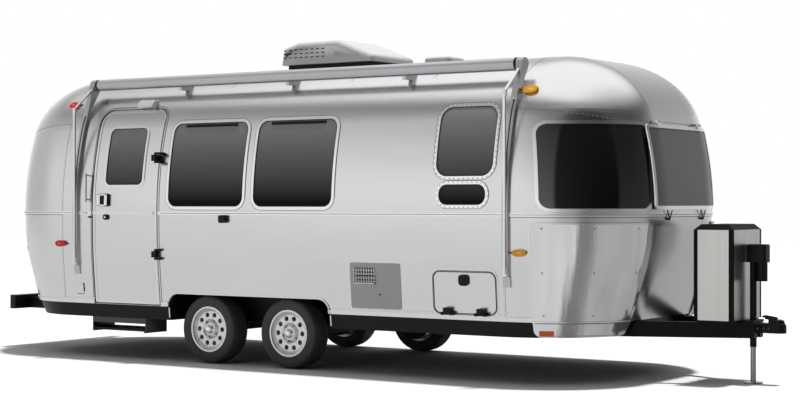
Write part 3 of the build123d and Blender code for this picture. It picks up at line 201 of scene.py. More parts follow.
class SheetGroup(SurfaceGroup):
    """Varies a surface's shade and roughness and gives its fine relief."""

    NAME = "sheet_grain"
    INPUTS = {
        "Vector": "Vector", "Dark": "Color", "Light": "Color", "Stretch": "Vector",
        "Smoothest": "Float", "Roughest": "Float",
    }
    OUTPUTS = {"Colour": "Color", "Roughness": "Float", "Height": "Float"}
    DETAIL = 3.0

    @classmethod
    def results(cls, wires: Wiring, given: bpy.types.NodeOutputs) -> dict[str, bpy.types.NodeSocket]:
        """A stretched noise as a shade, a roughness and a height.

        Args:
            wires: The group's wiring.
            given: The sockets of the group's inputs.

        Returns:
            A socket for each output.
        """
        stretched = wires.node(
            "VectorMath", {0: given["Vector"], 1: given["Stretch"]}, operation="MULTIPLY"
        )
        noise = wires.node(
            "TexNoise", {"Vector": stretched.outputs[0], "Scale": 1.0, "Detail": cls.DETAIL}
        ).outputs["Fac"]
        shade = wires.node(
            "Mix", {"Factor": noise, "A": given["Dark"], "B": given["Light"]}, data_type="RGBA"
        )
        spread = wires.node(
            "MapRange", {"Value": noise, "To Min": given["Smoothest"], "To Max": given["Roughest"]}
        )
        return {"Colour": shade.outputs["Result"], "Roughness": spread.outputs["Result"], "Height": noise}


class FadeGroup(SurfaceGroup):
    """Fades between two colours up the height of a piece, as a painted reflection."""

    NAME = "height_fade"
    INPUTS = {"Vector": "Vector", "Low": "Color", "High": "Color", "Bottom": "Float", "Top": "Float"}
    OUTPUTS = {"Colour": "Color"}

    @classmethod
    def results(cls, wires: Wiring, given: bpy.types.NodeOutputs) -> dict[str, bpy.types.NodeSocket]:
        """The colour by height.

        Args:
            wires: The group's wiring.
            given: The sockets of the group's inputs.

        Returns:
            A socket for each output.
        """
        split = wires.node("SeparateXYZ", {"Vector": given["Vector"]})
        rise = wires.node(
            "MapRange", {"Value": split.outputs["Z"], "From Min": given["Bottom"], "From Max": given["Top"]}
        ).outputs["Result"]
        fade = wires.node("Mix", {"Factor": rise, "A": given["Low"], "B": given["High"]}, data_type="RGBA")
        return {"Colour": fade.outputs["Result"]}


@dataclass(frozen=True)
class Finish:
    """A finish: its colour, how it shines, and how it varies over the surface."""

    name: str
    slot: str
    colour: Colour
    metallic: float = 0.0
    roughness: float = 0.5
    specular: float = 0.5
    coat: float = 0.0
    coat_roughness: float = 0.08
    grain: Grain = Grain.CAST
    variation: float = 0.08
    stretch: Colour = (12.0, 12.0, 12.0)
    relief: float = 0.0
    # Colour at the top of a finish with a painted reflection, and the heights between which it fades
    top_colour: Colour = (0.1, 0.1, 0.1)
    fade_range: Point = (1.4, 2.2)

    def material(self) -> bpy.types.Material:
        """The finish's material, built on first use.

        Returns:
            A material with one Principled shader.
        """
        found = bpy.data.materials.get(self.name)
        if found:
            return found
        made = bpy.data.materials.new(self.name)
        made.use_nodes = True
        wires = Wiring(made.node_tree)
        shader = made.node_tree.nodes["Principled BSDF"]
        wires.feed(shader, {
            "Base Color": (*self.colour, 1.0),
            "Metallic": self.metallic,
            "Roughness": self.roughness,
            "Coat Weight": self.coat,
            "Coat Roughness": self.coat_roughness,
            "Specular IOR Level": self.specular,
        })
        place = wires.node("TexCoord").outputs["Object"]
        if self.grain is Grain.SHADED:
            self._add_fade(wires, shader, place)
        else:
            self._add_grain(wires, shader, place)
        made.diffuse_color = (*self.colour, 1.0)
        return made

    def _add_fade(self, wires: Wiring, shader: bpy.types.Node, place: bpy.types.NodeSocket) -> None:
        """Fade the base colour up the piece, as a painted reflection.

        Args:
            wires: The material's wiring.
            shader: Its Principled shader.
            place: The socket of the object's coordinates.
        """
        bottom, top = self.fade_range
        fade = wires.node("Group", {
            "Vector": place,
            "Low": (*self.colour, 1.0),
            "High": (*self.top_colour, 1.0),
            "Bottom": bottom,
            "Top": top,
        }, node_tree=FadeGroup.get())
        wires.feed(shader, {"Base Color": fade.outputs["Colour"]})

    def _add_grain(self, wires: Wiring, shader: bpy.types.Node, place: bpy.types.NodeSocket) -> None:
        """Vary the shade and roughness, and add fine relief.

        Args:
            wires: The material's wiring.
            shader: Its Principled shader.
            place: The socket of the object's coordinates.
        """
        less, more = 1 - self.variation, 1 + self.variation
        sheet = wires.node("Group", {
            "Vector": place,
            "Dark": (*(c * less for c in self.colour), 1.0),
            "Light": (*(min(1.0, c * more) for c in self.colour), 1.0),
            "Stretch": self.stretch,
            "Smoothest": self.roughness * less,
            "Roughest": self.roughness * more,
        }, node_tree=SheetGroup.get())
        wires.feed(shader, {
            "Base Color": sheet.outputs["Colour"], "Roughness": sheet.outputs["Roughness"],
        })
        if self.relief:
            bump = wires.node(
                "Bump", {"Strength": 1.0, "Distance": self.relief, "Height": sheet.outputs["Height"]}
            )
            wires.feed(shader, {"Normal": bump.outputs["Normal"]})


SHELL = Finish(
    "satin aluminium sheet", "shell", (0.72, 0.725, 0.73), metallic=1.0, roughness=0.24,
    grain=Grain.ROLLED, variation=0.04, stretch=(0.9, 0.9, 2.6), relief=0.004,
)
BRIGHT = Finish("bright aluminium trim", "bright_trim", (0.76, 0.77, 0.78), metallic=1.0, roughness=0.26)
FRAME = Finish(
    "bright window frame", "bright_trim", (0.93, 0.935, 0.94), metallic=1.0, roughness=0.3,
    grain=Grain.BRUSHED, variation=0.04, stretch=(30.0, 30.0, 30.0),
)
SEAM_SHADE = Finish("lap shadow", "shell", (0.2, 0.2, 0.21), metallic=0.6, roughness=0.5)
POLISHED = Finish(
    "polished stainless", "polished_steel", (0.77, 0.775, 0.755), metallic=1.0, roughness=0.1,
    grain=Grain.ROLLED, variation=0.3, stretch=(6.0, 6.0, 0.12), relief=0.005,
)
RIVET = Finish("rivet head", "shell", (0.46, 0.47, 0.48), metallic=1.0, roughness=0.4)
GLOSS_BLACK = Finish("gloss black paint", "black_paint", (0.008, 0.008, 0.009), roughness=0.16, coat=0.5)
# Painted shade: the awning arms are darker than the bright trim for the shade on them
ARM_SHADE = Finish(
    "arm channel with painted shade", "bright_trim", (0.55, 0.545, 0.54), metallic=1.0, roughness=0.42,
    grain=Grain.BRUSHED, variation=0.12, stretch=(20.0, 20.0, 1.5),
)
# Painted highlights: small bright slabs on the marker lenses
RED_LENS_HIGHLIGHT = Finish("painted red lens highlight", "red_lens", (1.0, 0.16, 0.14), roughness=0.15, specular=0.4)
AMBER_LENS_HIGHLIGHT = Finish("painted amber lens highlight", "amber_lens", (1.0, 0.72, 0.16), roughness=0.15, specular=0.4)
AMBER_PLATE = Finish("orange reflector", "amber_lens", (0.80, 0.15, 0.015), roughness=0.2, specular=0.3)
AMBER_HOOD = Finish("dark amber nose", "amber_lens", (0.42, 0.12, 0.01), roughness=0.2, specular=0.3)
RED_HOOD = Finish("dark red nose", "red_lens", (0.35, 0.006, 0.008), roughness=0.2, specular=0.3)
# Painted reflection: these sheets fade in colour with height to stand for what they reflect
GLASS = Finish(
    "tinted window with painted reflection", "window_glass", (0.004, 0.004, 0.005), roughness=0.04, specular=0.06,
    grain=Grain.SHADED, top_colour=(0.37, 0.373, 0.38), fade_range=(1.46, 2.25),
)
END_GLASS = Finish(
    "tinted end window", "window_glass", (0.004, 0.004, 0.005), roughness=0.03, specular=1.0,
    grain=Grain.SHADED, top_colour=(0.02, 0.02, 0.021), fade_range=(1.43, 2.22),
)
SMOKED = Finish(
    "smoked guard sheet", "guard_sheet", (0.16, 0.162, 0.165), roughness=0.25, specular=0.3,
    grain=Grain.SHADED, top_colour=(0.12, 0.122, 0.125), fade_range=(1.40, 2.05),
)
RUBBER = Finish("black rubber seal", "black_plastic", (0.012, 0.012, 0.013), roughness=0.7)
BLACK_PAINT = Finish(
    "satin black paint", "black_paint", (0.006, 0.006, 0.007), roughness=0.42, specular=0.2,
    grain=Grain.CAST, variation=0.2, stretch=(6.0, 6.0, 6.0),
)
BLACK_PLASTIC = Finish(
    "black plastic", "black_plastic", (0.007, 0.007, 0.008), roughness=0.42, specular=0.2,
)
WHITE_PLASTIC = Finish("white plastic", "white_plastic", (0.86, 0.86, 0.85), roughness=0.4, coat=0.2)
COVER_TRIM = Finish(
    "black cover edging", "black_plastic", (0.007, 0.007, 0.008), roughness=0.5, specular=0.1,
)
GREY_PANEL = Finish("grey painted panel", "grey_panel", (0.36, 0.37, 0.38), metallic=0.5, roughness=0.4)
ALLOY = Finish("machined alloy", "alloy", (0.80, 0.80, 0.81), metallic=0.75, roughness=0.32)
COVER_SHEET = Finish(
    "brushed cover sheet", "alloy", (0.60, 0.605, 0.58), metallic=1.0, roughness=0.3,
    grain=Grain.BRUSHED, variation=0.12, stretch=(22.0, 22.0, 0.5), relief=0.0006,
)
TYRE_RUBBER = Finish(
    "tyre rubber", "tyre", (0.062, 0.06, 0.064), roughness=0.7,
    grain=Grain.CAST, variation=0.25, stretch=(25.0, 25.0, 25.0),
)
CHROME = Finish("chrome", "steel", (0.8, 0.8, 0.81), metallic=1.0, roughness=0.08)
STEEL = Finish("plated steel", "steel", (0.42, 0.42, 0.43), metallic=1.0, roughness=0.35)
RED_LENS = Finish("red lens", "red_lens", (0.85, 0.012, 0.016), roughness=0.2, specular=0.3)
AMBER_LENS = Finish("amber lens", "amber_lens", (1.0, 0.42, 0.02), roughness=0.2, specular=0.3)
CLEAR_LENS = Finish("clear lens", "clear_lens", (0.72, 0.73, 0.75), roughness=0.1, coat=0.6)
AWNING_COVER = Finish(
    "awning cover", "awning_sheet", (0.60, 0.61, 0.63), metallic=0.6, roughness=0.38,
    grain=Grain.BRUSHED, stretch=(0.5, 30.0, 30.0),
)
FLOOR_BOARD = Finish(
    "floor board", "floor_board", (0.3, 0.26, 0.2), roughness=0.6,
    variation=0.3, stretch=(1.5, 18.0, 18.0),
)

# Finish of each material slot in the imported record
SLOT_FINISHES = {
    "shell": SHELL,
    "bright_trim": BRIGHT,
    "window_glass": GLASS,
    "guard_sheet": SMOKED,
    "polished_steel": POLISHED,
    "black_paint": BLACK_PAINT,
    "black_plastic": BLACK_PLASTIC,
    "white_plastic": WHITE_PLASTIC,
    "grey_panel": GREY_PANEL,
    "alloy": ALLOY,
    "tyre": TYRE_RUBBER,
    "steel": STEEL,
    "red_lens": RED_LENS,
    "amber_lens": AMBER_LENS,
    "clear_lens": CLEAR_LENS,
    "awning_sheet": AWNING_COVER,
    "floor_board": FLOOR_BOARD,
}
# Nodes that have a finish of their own
NODE_FINISHES = {
    "gas_cover": COVER_SHEET,
    "gas_cover_trim": COVER_TRIM,
    "step_frame": GLOSS_BLACK,
    "awning_arms": ARM_SHADE,
    "end_glass": END_GLASS,
    "side_window_frames": FRAME,
    "end_window_frames": FRAME,
    "belt_rail": FRAME,
    "window_guard_frame": FRAME,
}
# Nodes with their own sharpest angle that still looks smooth, in degrees
SMOOTH_ANGLES = {"ac_shroud": 65.0, "roof_vent": 65.0}
# Nodes whose edges are rounded off, and by how much
SOFT_EDGES = {"jack_body": 0.010, "ac_shroud": 0.018, "rear_bumper": 0.008, "coupler": 0.005}


def finished(bm: bmesh.types.BMesh, name: str, finish: Finish, body: str) -> bpy.types.Object:
    """Make an object of a bmesh and let it ride on a body.

    Args:
        bm: The mesh, in the frame; it is freed.
        name: The object's name.
        finish: Its finish.
        body: The CAD body it moves with.

    Returns:
        The new object.
    """
    mesh = bpy.data.meshes.new(name)
    bm.to_mesh(mesh)
    bm.free()
    obj = bpy.data.objects.new(name, mesh)
    bpy.context.scene.collection.objects.link(obj)
    mesh.materials.append(finish.material())
    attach(obj, body)
    LOG.info("%s: %d faces", name, len(mesh.polygons))
    return obj


def shade_smooth(obj: bpy.types.Object, angle_deg: float) -> None:
    """Shade an object smooth where its faces meet at less than an angle.

    Args:
        obj: The object.
        angle_deg: Sharpest angle that still looks smooth.
    """
    obj.data.polygons.foreach_set("use_smooth", [True] * len(obj.data.polygons))
    weld = obj.modifiers.new("weld", "WELD")
    weld.merge_threshold = WELD_DISTANCE
    split = obj.modifiers.new("sharp edges", "EDGE_SPLIT")
    split.split_angle = math.radians(angle_deg)
    split.use_edge_sharp = False


@contextmanager
def piece(
    name: str, finish: Finish, body: str = BODY, smooth_deg: float = 0.0
) -> Iterator[bmesh.types.BMesh]:
    """Build one object in a with block.

    Args:
        name: The object's name.
        finish: Its finish.
        body: The CAD body it moves with.
        smooth_deg: Sharpest angle that looks smooth, or 0 for flat faces.

    Yields:
        The mesh to add to, in the frame.
    """
    bm = bmesh.new()
    yield bm
    obj = finished(bm, name, finish, body)
    if smooth_deg:
        shade_smooth(obj, smooth_deg)


@dataclass
class Skin:
    """Finds points on the outside of some CAD nodes by ray casts."""

    nodes: Sequence[str]
    objects: dict[str, bpy.types.Object]
    reach: float = 6.0
    tree: BVHTree = field(init=False)

    def __post_init__(self) -> None:
        """Collect the nodes' triangles."""
        corners: list[Vector] = []
        faces: list[list[int]] = []
        for name in self.nodes:
            mesh = self.objects[name].data
            base = len(corners)
            corners.extend(v.co.copy() for v in mesh.vertices)
            faces.extend([base + i for i in p.vertices] for p in mesh.polygons)
        self.tree = BVHTree.FromPolygons(corners, faces)

    def cast(self, origin: Vector, direction: Vector) -> Hit | None:
        """The first hit of a ray, with its normal turned towards the ray's start.

        Args:
            origin: Where the ray starts.
            direction: Where it goes.

        Returns:
            Point and normal, or None.
        """
        point, normal, _, _ = self.tree.ray_cast(origin, direction)
        if point is None:
            return None
        return point, normal if normal.dot(direction) < 0 else -normal

    def side(self, side: int, x: float, z: float) -> Hit | None:
        """The point of a side wall at x, z."""
        return self.cast(Vector((x, side * self.reach, z)), Vector((0, -side, 0)))

    def end(self, end: int, y: float, z: float) -> Hit | None:
        """The point of the front or rear at y, z."""
        return self.cast(Vector((end * self.reach, y, z)), Vector((-end, 0, 0)))

    def top(self, x: float, y: float) -> Hit | None:
        """The point of the roof at x, y."""
        return self.cast(Vector((x, y, self.reach)), Vector((0, 0, -1)))

    def round(self, pivot_x: float, angle_deg: float, z: float) -> Hit | None:
        """The point met by a level ray towards the upright axis at pivot_x, 0.

        Args:
            pivot_x: Where the axis stands.
            angle_deg: Direction from the axis, 0 along +X.
            z: Height.

        Returns:
            Point and normal, or None.
        """
        away = Vector((math.cos(math.radians(angle_deg)), math.sin(math.radians(angle_deg)), 0))
        return self.cast(Vector((pivot_x, 0, z)) + away * self.reach, -away)


def span(start: float, end: float, pitch: float) -> list[float]:
    """Evenly spaced values from start to end, about pitch apart.

    Args:
        start: First value.
        end: Last value.
        pitch: Wanted spacing.

    Returns:
        The values.
    """
    count = max(1, round(abs(end - start) / pitch))
    return [start + (end - start) * i / count for i in range(count + 1)]


def kept(hits: Iterable[Hit | None]) -> list[Hit]:
    """The hits that met something."""
    return [hit for hit in hits if hit]


def facing(hit: Hit) -> Matrix:
    """A matrix that puts local +Z on a hit's normal at its point, with local +Y up."""
    point, normal = hit
    return Matrix.Translation(point) @ normal.to_track_quat("Z", "Y").to_matrix().to_4x4()


def rounded(width: float, height: float, radius: float, segments: int = 6) -> list[Point]:
    """Points round a rectangle with rounded corners, centred on 0, 0.

    Args:
        width: Its width.
        height: Its height.
        radius: Radius of its corners.
        segments: Steps in a corner.

    Returns:
        The points in order.
    """
    bm = bmesh.new()
    bmesh.ops.create_grid(bm, x_segments=1, y_segments=1, size=0.5)
    bmesh.ops.scale(bm, vec=(width, height, 1.0), verts=bm.verts)
    bmesh.ops.bevel(
        bm, geom=bm.verts[:], offset=radius, offset_type="OFFSET", segments=segments,
        profile=0.5, affect="VERTICES", material=-1,
    )
    points = [(loop.vert.co.x, loop.vert.co.y) for loop in bm.faces[:][0].loops]
    bm.free()
    return points


def walk(points: Sequence[Point], pitch: float) -> list[Point]:
    """Points about pitch apart along a closed outline.

    Args:
        points: The outline's corners in order.
        pitch: Wanted spacing.

    Returns:
        The spaced points.
    """
    corners = [Vector(p) for p in points]
    runs = list(zip(corners, corners[1:] + corners[:1]))
    length = sum((b - a).length for a, b in runs)
    count = max(8, round(length / pitch))
    spaced, left, step = [], 0.0, length / count
    for a, b in runs:
        run = (b - a).length
        while left < run - 1e-9:
            spot = a.lerp(b, left / run)
            spaced.append((spot.x, spot.y))
            left += step
        left -= run
    return spaced[:count]


def slab(
    bm: bmesh.types.BMesh, size: Place, place: Matrix, round_by: float = 0.0, segments: int = 2
) -> None:
    """Add a block with rounded edges.

    Args:
        bm: Mesh to add to.
        size: Its three sizes.
        place: Where its middle goes.
        round_by: Radius of its edges.
        segments: Steps in an edge.
    """
    verts = bmesh.ops.create_cube(bm, size=1.0)["verts"]
    bmesh.ops.scale(bm, vec=size, verts=verts)
    if round_by:
        edges = list({edge for vert in verts for edge in vert.link_edges})
        verts = bmesh.ops.bevel(
            bm, geom=edges, offset=round_by, offset_type="OFFSET", segments=segments,
            profile=0.5, affect="EDGES", material=-1, clamp_overlap=True,
        )["verts"]
    bmesh.ops.transform(bm, matrix=place, verts=verts)


def bar(
    bm: bmesh.types.BMesh, start: Place, end: Place, width: float, depth: float, round_by: float
) -> None:
    """Add a bar with rounded edges between two points.

    Args:
        bm: Mesh to add to.
        start: Middle of one end.
        end: Middle of the other end.
        width: Size along X, as far as the bar's direction lets it.
        depth: The other size across.
        round_by: Radius of its edges.
    """
    low, high = Vector(start), Vector(end)
    along = (high - low).normalized()
    across = (Vector((1, 0, 0)) - along * along.x).normalized()
    if along.cross(Vector((1, 0, 0))).length < ALONG_X:
        across = Vector((0, 1, 0))
    turn = Matrix((across, along.cross(across), along)).transposed().to_4x4()
    place = Matrix.Translation((low + high) / 2) @ turn
    slab(bm, (width, depth, (high - low).length), place, round_by)


def lathe(
    bm: bmesh.types.BMesh, profile: Sequence[Point], place: Matrix, steps: int
) -> list[bmesh.types.BMFace]:
    """Add a turned shape round local Z.

    Args:
        bm: Mesh to add to.
        profile: Radius and height of its outline, from the bottom.
        place: Where it goes.
        steps: Steps round it.

    Returns:
        Its faces.
    """
    before = set(bm.verts)
    line = [bm.verts.new((radius, 0, height)) for radius, height in profile]
    edges = [bm.edges.new(pair) for pair in zip(line, line[1:])]
    bmesh.ops.spin(
        bm, geom=line + edges, cent=(0, 0, 0), axis=(0, 0, 1), dvec=(0, 0, 0),
        angle=math.tau, steps=steps, use_merge=True, use_normal_flip=False, use_duplicate=False,
    )
    verts = [v for v in bm.verts if v not in before]
    bmesh.ops.remove_doubles(bm, verts=verts, dist=MERGE_DISTANCE)
    verts = [v for v in bm.verts if v not in before]
    faces = list({face for vert in verts for face in vert.link_faces})
    bmesh.ops.recalc_face_normals(bm, faces=faces)
    bmesh.ops.transform(bm, matrix=place, verts=verts)
    return faces


@dataclass
class Rivets:
    """Low domes in rows, as one mesh."""

    radius: float = 0.0052
    height: float = 0.0022
    crown: float = 0.55
    sides: int = 6

    def template(self) -> bpy.types.Mesh:
        """One rivet head standing on z = 0.

        Returns:
            Its mesh.
        """
        bm = bmesh.new()
        bmesh.ops.create_cone(
            bm, cap_ends=True, segments=self.sides, radius1=self.radius,
            radius2=self.radius * self.crown, depth=self.height,
            matrix=Matrix.Translation((0, 0, self.height / 2)),
        )
        mesh = bpy.data.meshes.new("rivet")
        bm.to_mesh(mesh)
        bm.free()
        return mesh

    def build(self, name: str, hits: Sequence[Hit], finish: Finish, body: str) -> bpy.types.Object:
        """Rivets at some points.

        Args:
            name: The object's name.
            hits: Points and normals.
            finish: Finish of the heads.
            body: The CAD body they move with.

        Returns:
            The object.
        """
        head = self.template()
        bm = bmesh.new()
        for hit in hits:
            place = facing(hit)
            head.transform(place)
            bm.from_mesh(head)
            head.transform(place.inverted())
        bpy.data.meshes.remove(head)
        return finished(bm, name, finish, body)


@dataclass
class Strip:
    """A thin strip that follows the skin."""

    width: float
    thickness: float

    def add(self, bm: bmesh.types.BMesh, hits: Sequence[Hit], closed: bool = False) -> None:
        """Add the strip along some points.

        Args:
            bm: Mesh to add to.
            hits: Points and normals along the strip's middle.
            closed: True where the last point joins the first.
        """
        count = len(hits)
        if count < 2:
            return
        sideways, line = [], []
        for i, (point, normal) in enumerate(hits):
            back = hits[i - 1][0] if closed or i else point
            ahead = hits[(i + 1) % count][0] if closed or i < count - 1 else point
            sideways.append((ahead - back).cross(normal).normalized())
            edge = point + normal * self.thickness - sideways[i] * self.width / 2
            line.append(bm.verts.new(edge))
        pairs = list(zip(line, line[1:])) + ([(line[-1], line[0])] if closed else [])
        grown = bmesh.ops.extrude_edge_only(bm, edges=[bm.edges.new(pair) for pair in pairs])
        order = {vert: i for i, vert in enumerate(line)}
        faces = [part for part in grown["geom"] if isinstance(part, bmesh.types.BMFace)]
        for vert in (part for part in grown["geom"] if isinstance(part, bmesh.types.BMVert)):
            near = next(e.other_vert(vert) for e in vert.link_edges if e.other_vert(vert) in order)
            vert.co += sideways[order[near]] * self.width
        bmesh.ops.recalc_face_normals(bm, faces=faces)
        faces[0].normal_update()
        nearest = min(hits, key=lambda hit: (hit[0] - faces[0].calc_center_median()).length)
        if faces[0].normal.dot(nearest[1]) < 0:
            bmesh.ops.reverse_faces(bm, faces=faces)
        bmesh.ops.solidify(bm, geom=faces, thickness=self.thickness)


@dataclass
class Shell:
    """Rows of rivets and lap lines over the cabin's sheets."""

    skin: Skin
    seam_xs: tuple[float, float] = (-2.77, 2.08)
    wall_foot: float = 0.56
    roof_seam: float = 2.425
    cap_seam: float = 2.205
    cap_drop: float = 0.095
    cap_reach_y: float = 0.445
    dome_top: float = 2.56
    roof_half_width: float = 0.9
    roof_seam_xs: tuple[float, ...] = (-2.77, -1.6, -0.98, 0.34, 1.2, 2.08)
    pitch: float = 0.04
    turn_pitch: float = 2.0
    wall_least_y: float = 0.6
    lap: Strip = field(default_factory=lambda: Strip(0.003, 0.0008))
    lap_shift: float = 0.014
    # The caps' seam drops over this angle from the side, by this power of the share of it
    cap_turn: float = 45.0
    cap_power: float = 1.5
    # Gap, in pitches, at which a row breaks
    row_gap: float = 2.5

    def rows(self) -> dict[str, list[Hit]]:
        """The rows of points, by name.

        Returns:
            Points and normals of each row.
        """
        rows: dict[str, list[Hit]] = {}
        for side, word in SIDES:
            up = span(self.wall_foot, self.roof_seam, self.pitch)
            for x in self.seam_xs:
                rows[f"{word} upright {x}"] = self._wall(side, [(x, z) for z in up])
            along = span(*self.seam_xs, self.pitch)
            rows[f"{word} roof edge"] = self._wall(side, [(x, self.roof_seam) for x in along])
            rows[f"{word} sill"] = self._wall(side, [(x, self.wall_foot) for x in along])
        for end, word, pivot in ((FRONT, "front", self.seam_xs[1]), (REAR, "rear", self.seam_xs[0])):
            middle = 0.0 if end == FRONT else 180.0
            rows[f"{word} cap"] = kept(
                self.skin.round(pivot, middle + end * turn, self._cap_height(turn))
                for turn in span(-90.0, 90.0, self.turn_pitch)
            )
            for side in (CURB, STREET):
                up = span(self.cap_seam, self.dome_top, self.pitch)
                rows[f"{word} dome {side}"] = kept(
                    self.skin.end(end, side * self.cap_reach_y, z) for z in up
                )
        for x in self.roof_seam_xs:
            across = span(-self.roof_half_width, self.roof_half_width, self.pitch)
            rows[f"roof {x}"] = kept(self.skin.top(x, y) for y in across)
        return rows

    def build(self) -> None:
        """Make the rivets and the lap lines."""
        rows = self.rows()
        heads = [hit for row in rows.values() for hit in row]
        Rivets().build("shell_rivets", heads, RIVET, BODY)
        with piece("shell_lap_lines", SEAM_SHADE) as bm:
            for name, row in rows.items():
                if "sill" in name or "roof edge" in name:
                    continue
                for run in self._unbroken(row):
                    self.lap.add(bm, [(point + self._lap_shift(normal), normal) for point, normal in run])

    def _wall(self, side: int, spots: Sequence[Point]) -> list[Hit]:
        """Points of one side wall, without those that went through an opening.

        Args:
            side: CURB or STREET.
            spots: x and z of each.

        Returns:
            Points and normals.
        """
        found = kept(self.skin.side(side, x, z) for x, z in spots)
        return [hit for hit in found if hit[0].y * side > self.wall_least_y]

    def _cap_height(self, turn: float) -> float:
        """Height of the end caps' seam at an angle from the middle."""
        share = min(1.0, (90.0 - abs(turn)) / self.cap_turn)
        return self.cap_seam - self.cap_drop * share**self.cap_power

    def _unbroken(self, row: Sequence[Hit]) -> list[list[Hit]]:
        """A row split where neighbours are far apart.

        Args:
            row: Points and normals.

        Returns:
            The row's unbroken runs.
        """
        runs: list[list[Hit]] = []
        for hit in row:
            if runs and (runs[-1][-1][0] - hit[0]).length < self.row_gap * self.pitch:
                runs[-1].append(hit)
            else:
                runs.append([hit])
        return runs

    def _lap_shift(self, normal: Vector) -> Vector:
        """How far the lap's edge lies from its rivets."""
        return Vector((0, 0, 1)).cross(normal).normalized() * self.lap_shift


@dataclass(frozen=True)
class Opening:
    """A window or flap in a wall: its side, edges and corner radius."""

    name: str
    side: int
    rear: float
    front: float
    bottom: float
    top: float
    radius: float

    def path(self, grow: float, pitch: float, foot_radius: float | None = None) -> list[Point]:
        """Points in x and z round its outline.

        Args:
            grow: How far outside the outline.
            pitch: Spacing.
            foot_radius: Radius of the bottom corners, where it differs.

        Returns:
            The points.
        """
        width, height = self.front - self.rear + 2 * grow, self.top - self.bottom + 2 * grow
        loop = rounded(width, height, self.radius + grow)
        if foot_radius is not None:
            square = rounded(width, height, foot_radius + grow)
            loop = [p for p in loop if p[1] > 0] + [p for p in square if p[1] <= 0]
            loop.sort(key=lambda p: math.atan2(p[1], p[0]))
        x, z = (self.rear + self.front) / 2, (self.bottom + self.top) / 2
        return [(x + a, z + b) for a, b in walk(loop, pitch)]

    def hits(self, skin: Skin, grow: float, pitch: float, foot_radius: float | None = None) -> list[Hit]:
        """Points of a skin along the outline.

        Args:
            skin: What carries them.
            grow: How far outside the outline.
            pitch: Spacing.
            foot_radius: Radius of the bottom corners, where it differs.

        Returns:
            Points and normals.
        """
        spots = self.path(grow, pitch, foot_radius)
        found = kept(skin.side(self.side, x, z) for x, z in spots)
        return [hit for hit in found if hit[0].y * self.side > WALL_LEAST_Y]


WINDOWS = [
    Opening("rear", CURB, -1.429, -0.566, 1.418, 2.174, 0.085),
    Opening("middle", CURB, -0.445, 0.405, 1.418, 2.174, 0.085),
    Opening("front_upper", CURB, 1.444, 1.983, 1.668, 2.237, 0.105),
    Opening("front_lower", CURB, 1.484, 1.924, 1.435, 1.602, 0.075),
    Opening("rear", STREET, -2.262, -1.399, 1.418, 2.174, 0.085),
    Opening("middle", STREET, -0.445, 0.405, 1.418, 2.174, 0.085),
    Opening("front_upper", STREET, 1.444, 1.983, 1.668, 2.237, 0.105),
]
DOOR_WINDOW = Opening("door", CURB, -2.209, -1.755, 1.618, 2.144, 0.055)
DOOR = Opening("door", CURB, -2.363, -1.564, 0.515, 2.320, 0.120)
HATCH = Opening("hatch", CURB, 1.426, 2.003, 0.560, 0.890, 0.055)
HEATER = Opening("heater", CURB, 0.591, 1.098, 0.566, 0.950, 0.020)


@dataclass
class Windows:
    """Seals, edge lines, vent bars and frame rivets of the windows."""

    shell: Skin
    frames: Skin
    glass: Skin
    door_glass: Skin
    seal: Strip = field(default_factory=lambda: Strip(0.007, 0.004))
    seal_inset: float = 0.004
    rivet_radius: float = 0.0055
    rivet_grow: float = 0.019
    rivet_pitch: float = 0.045
    riveted: tuple[str, ...] = ("front_upper", "front_lower")
    vented: tuple[str, ...] = ("rear", "middle")
    edge: Strip = field(default_factory=lambda: Strip(0.004, 0.0012))
    edge_grow: float = 0.031
    vent_share: float = 0.70
    vent_size: Point = (0.026, 0.012)
    vent_edge: float = 0.004
    step: float = 0.02

    def build(self) -> None:
        """Make all of them."""
        with piece("window_seals", RUBBER) as bm:
            for window in WINDOWS:
                self.seal.add(bm, window.hits(self.glass, -self.seal_inset, self.step), closed=True)
        with piece("window_edge_lines", SEAM_SHADE) as bm:
            for window in WINDOWS:
                self.edge.add(bm, window.hits(self.shell, self.edge_grow, self.step), closed=True)
        with piece("door_window_seal", RUBBER, DOOR_BODY) as bm:
            self.seal.add(bm, DOOR_WINDOW.hits(self.door_glass, -self.seal_inset, self.step), closed=True)
        heads = [
            hit
            for window in WINDOWS
            if window.name in self.riveted
            for hit in window.hits(self.frames, self.rivet_grow, self.rivet_pitch)
        ]
        Rivets(radius=self.rivet_radius).build("window_rivets", heads, SEAM_SHADE, BODY)
        height, depth = self.vent_size
        with piece("window_vent_bars", BLACK_PLASTIC) as bm:
            for window in WINDOWS:
                if window.name not in self.vented:
                    continue
                width = (window.front - window.rear) * self.vent_share
                middle = (window.rear + window.front) / 2
                hit = self.glass.side(window.side, middle, window.top - height)
                if hit:
                    slab(bm, (width, height, depth), facing(hit), self.vent_edge)


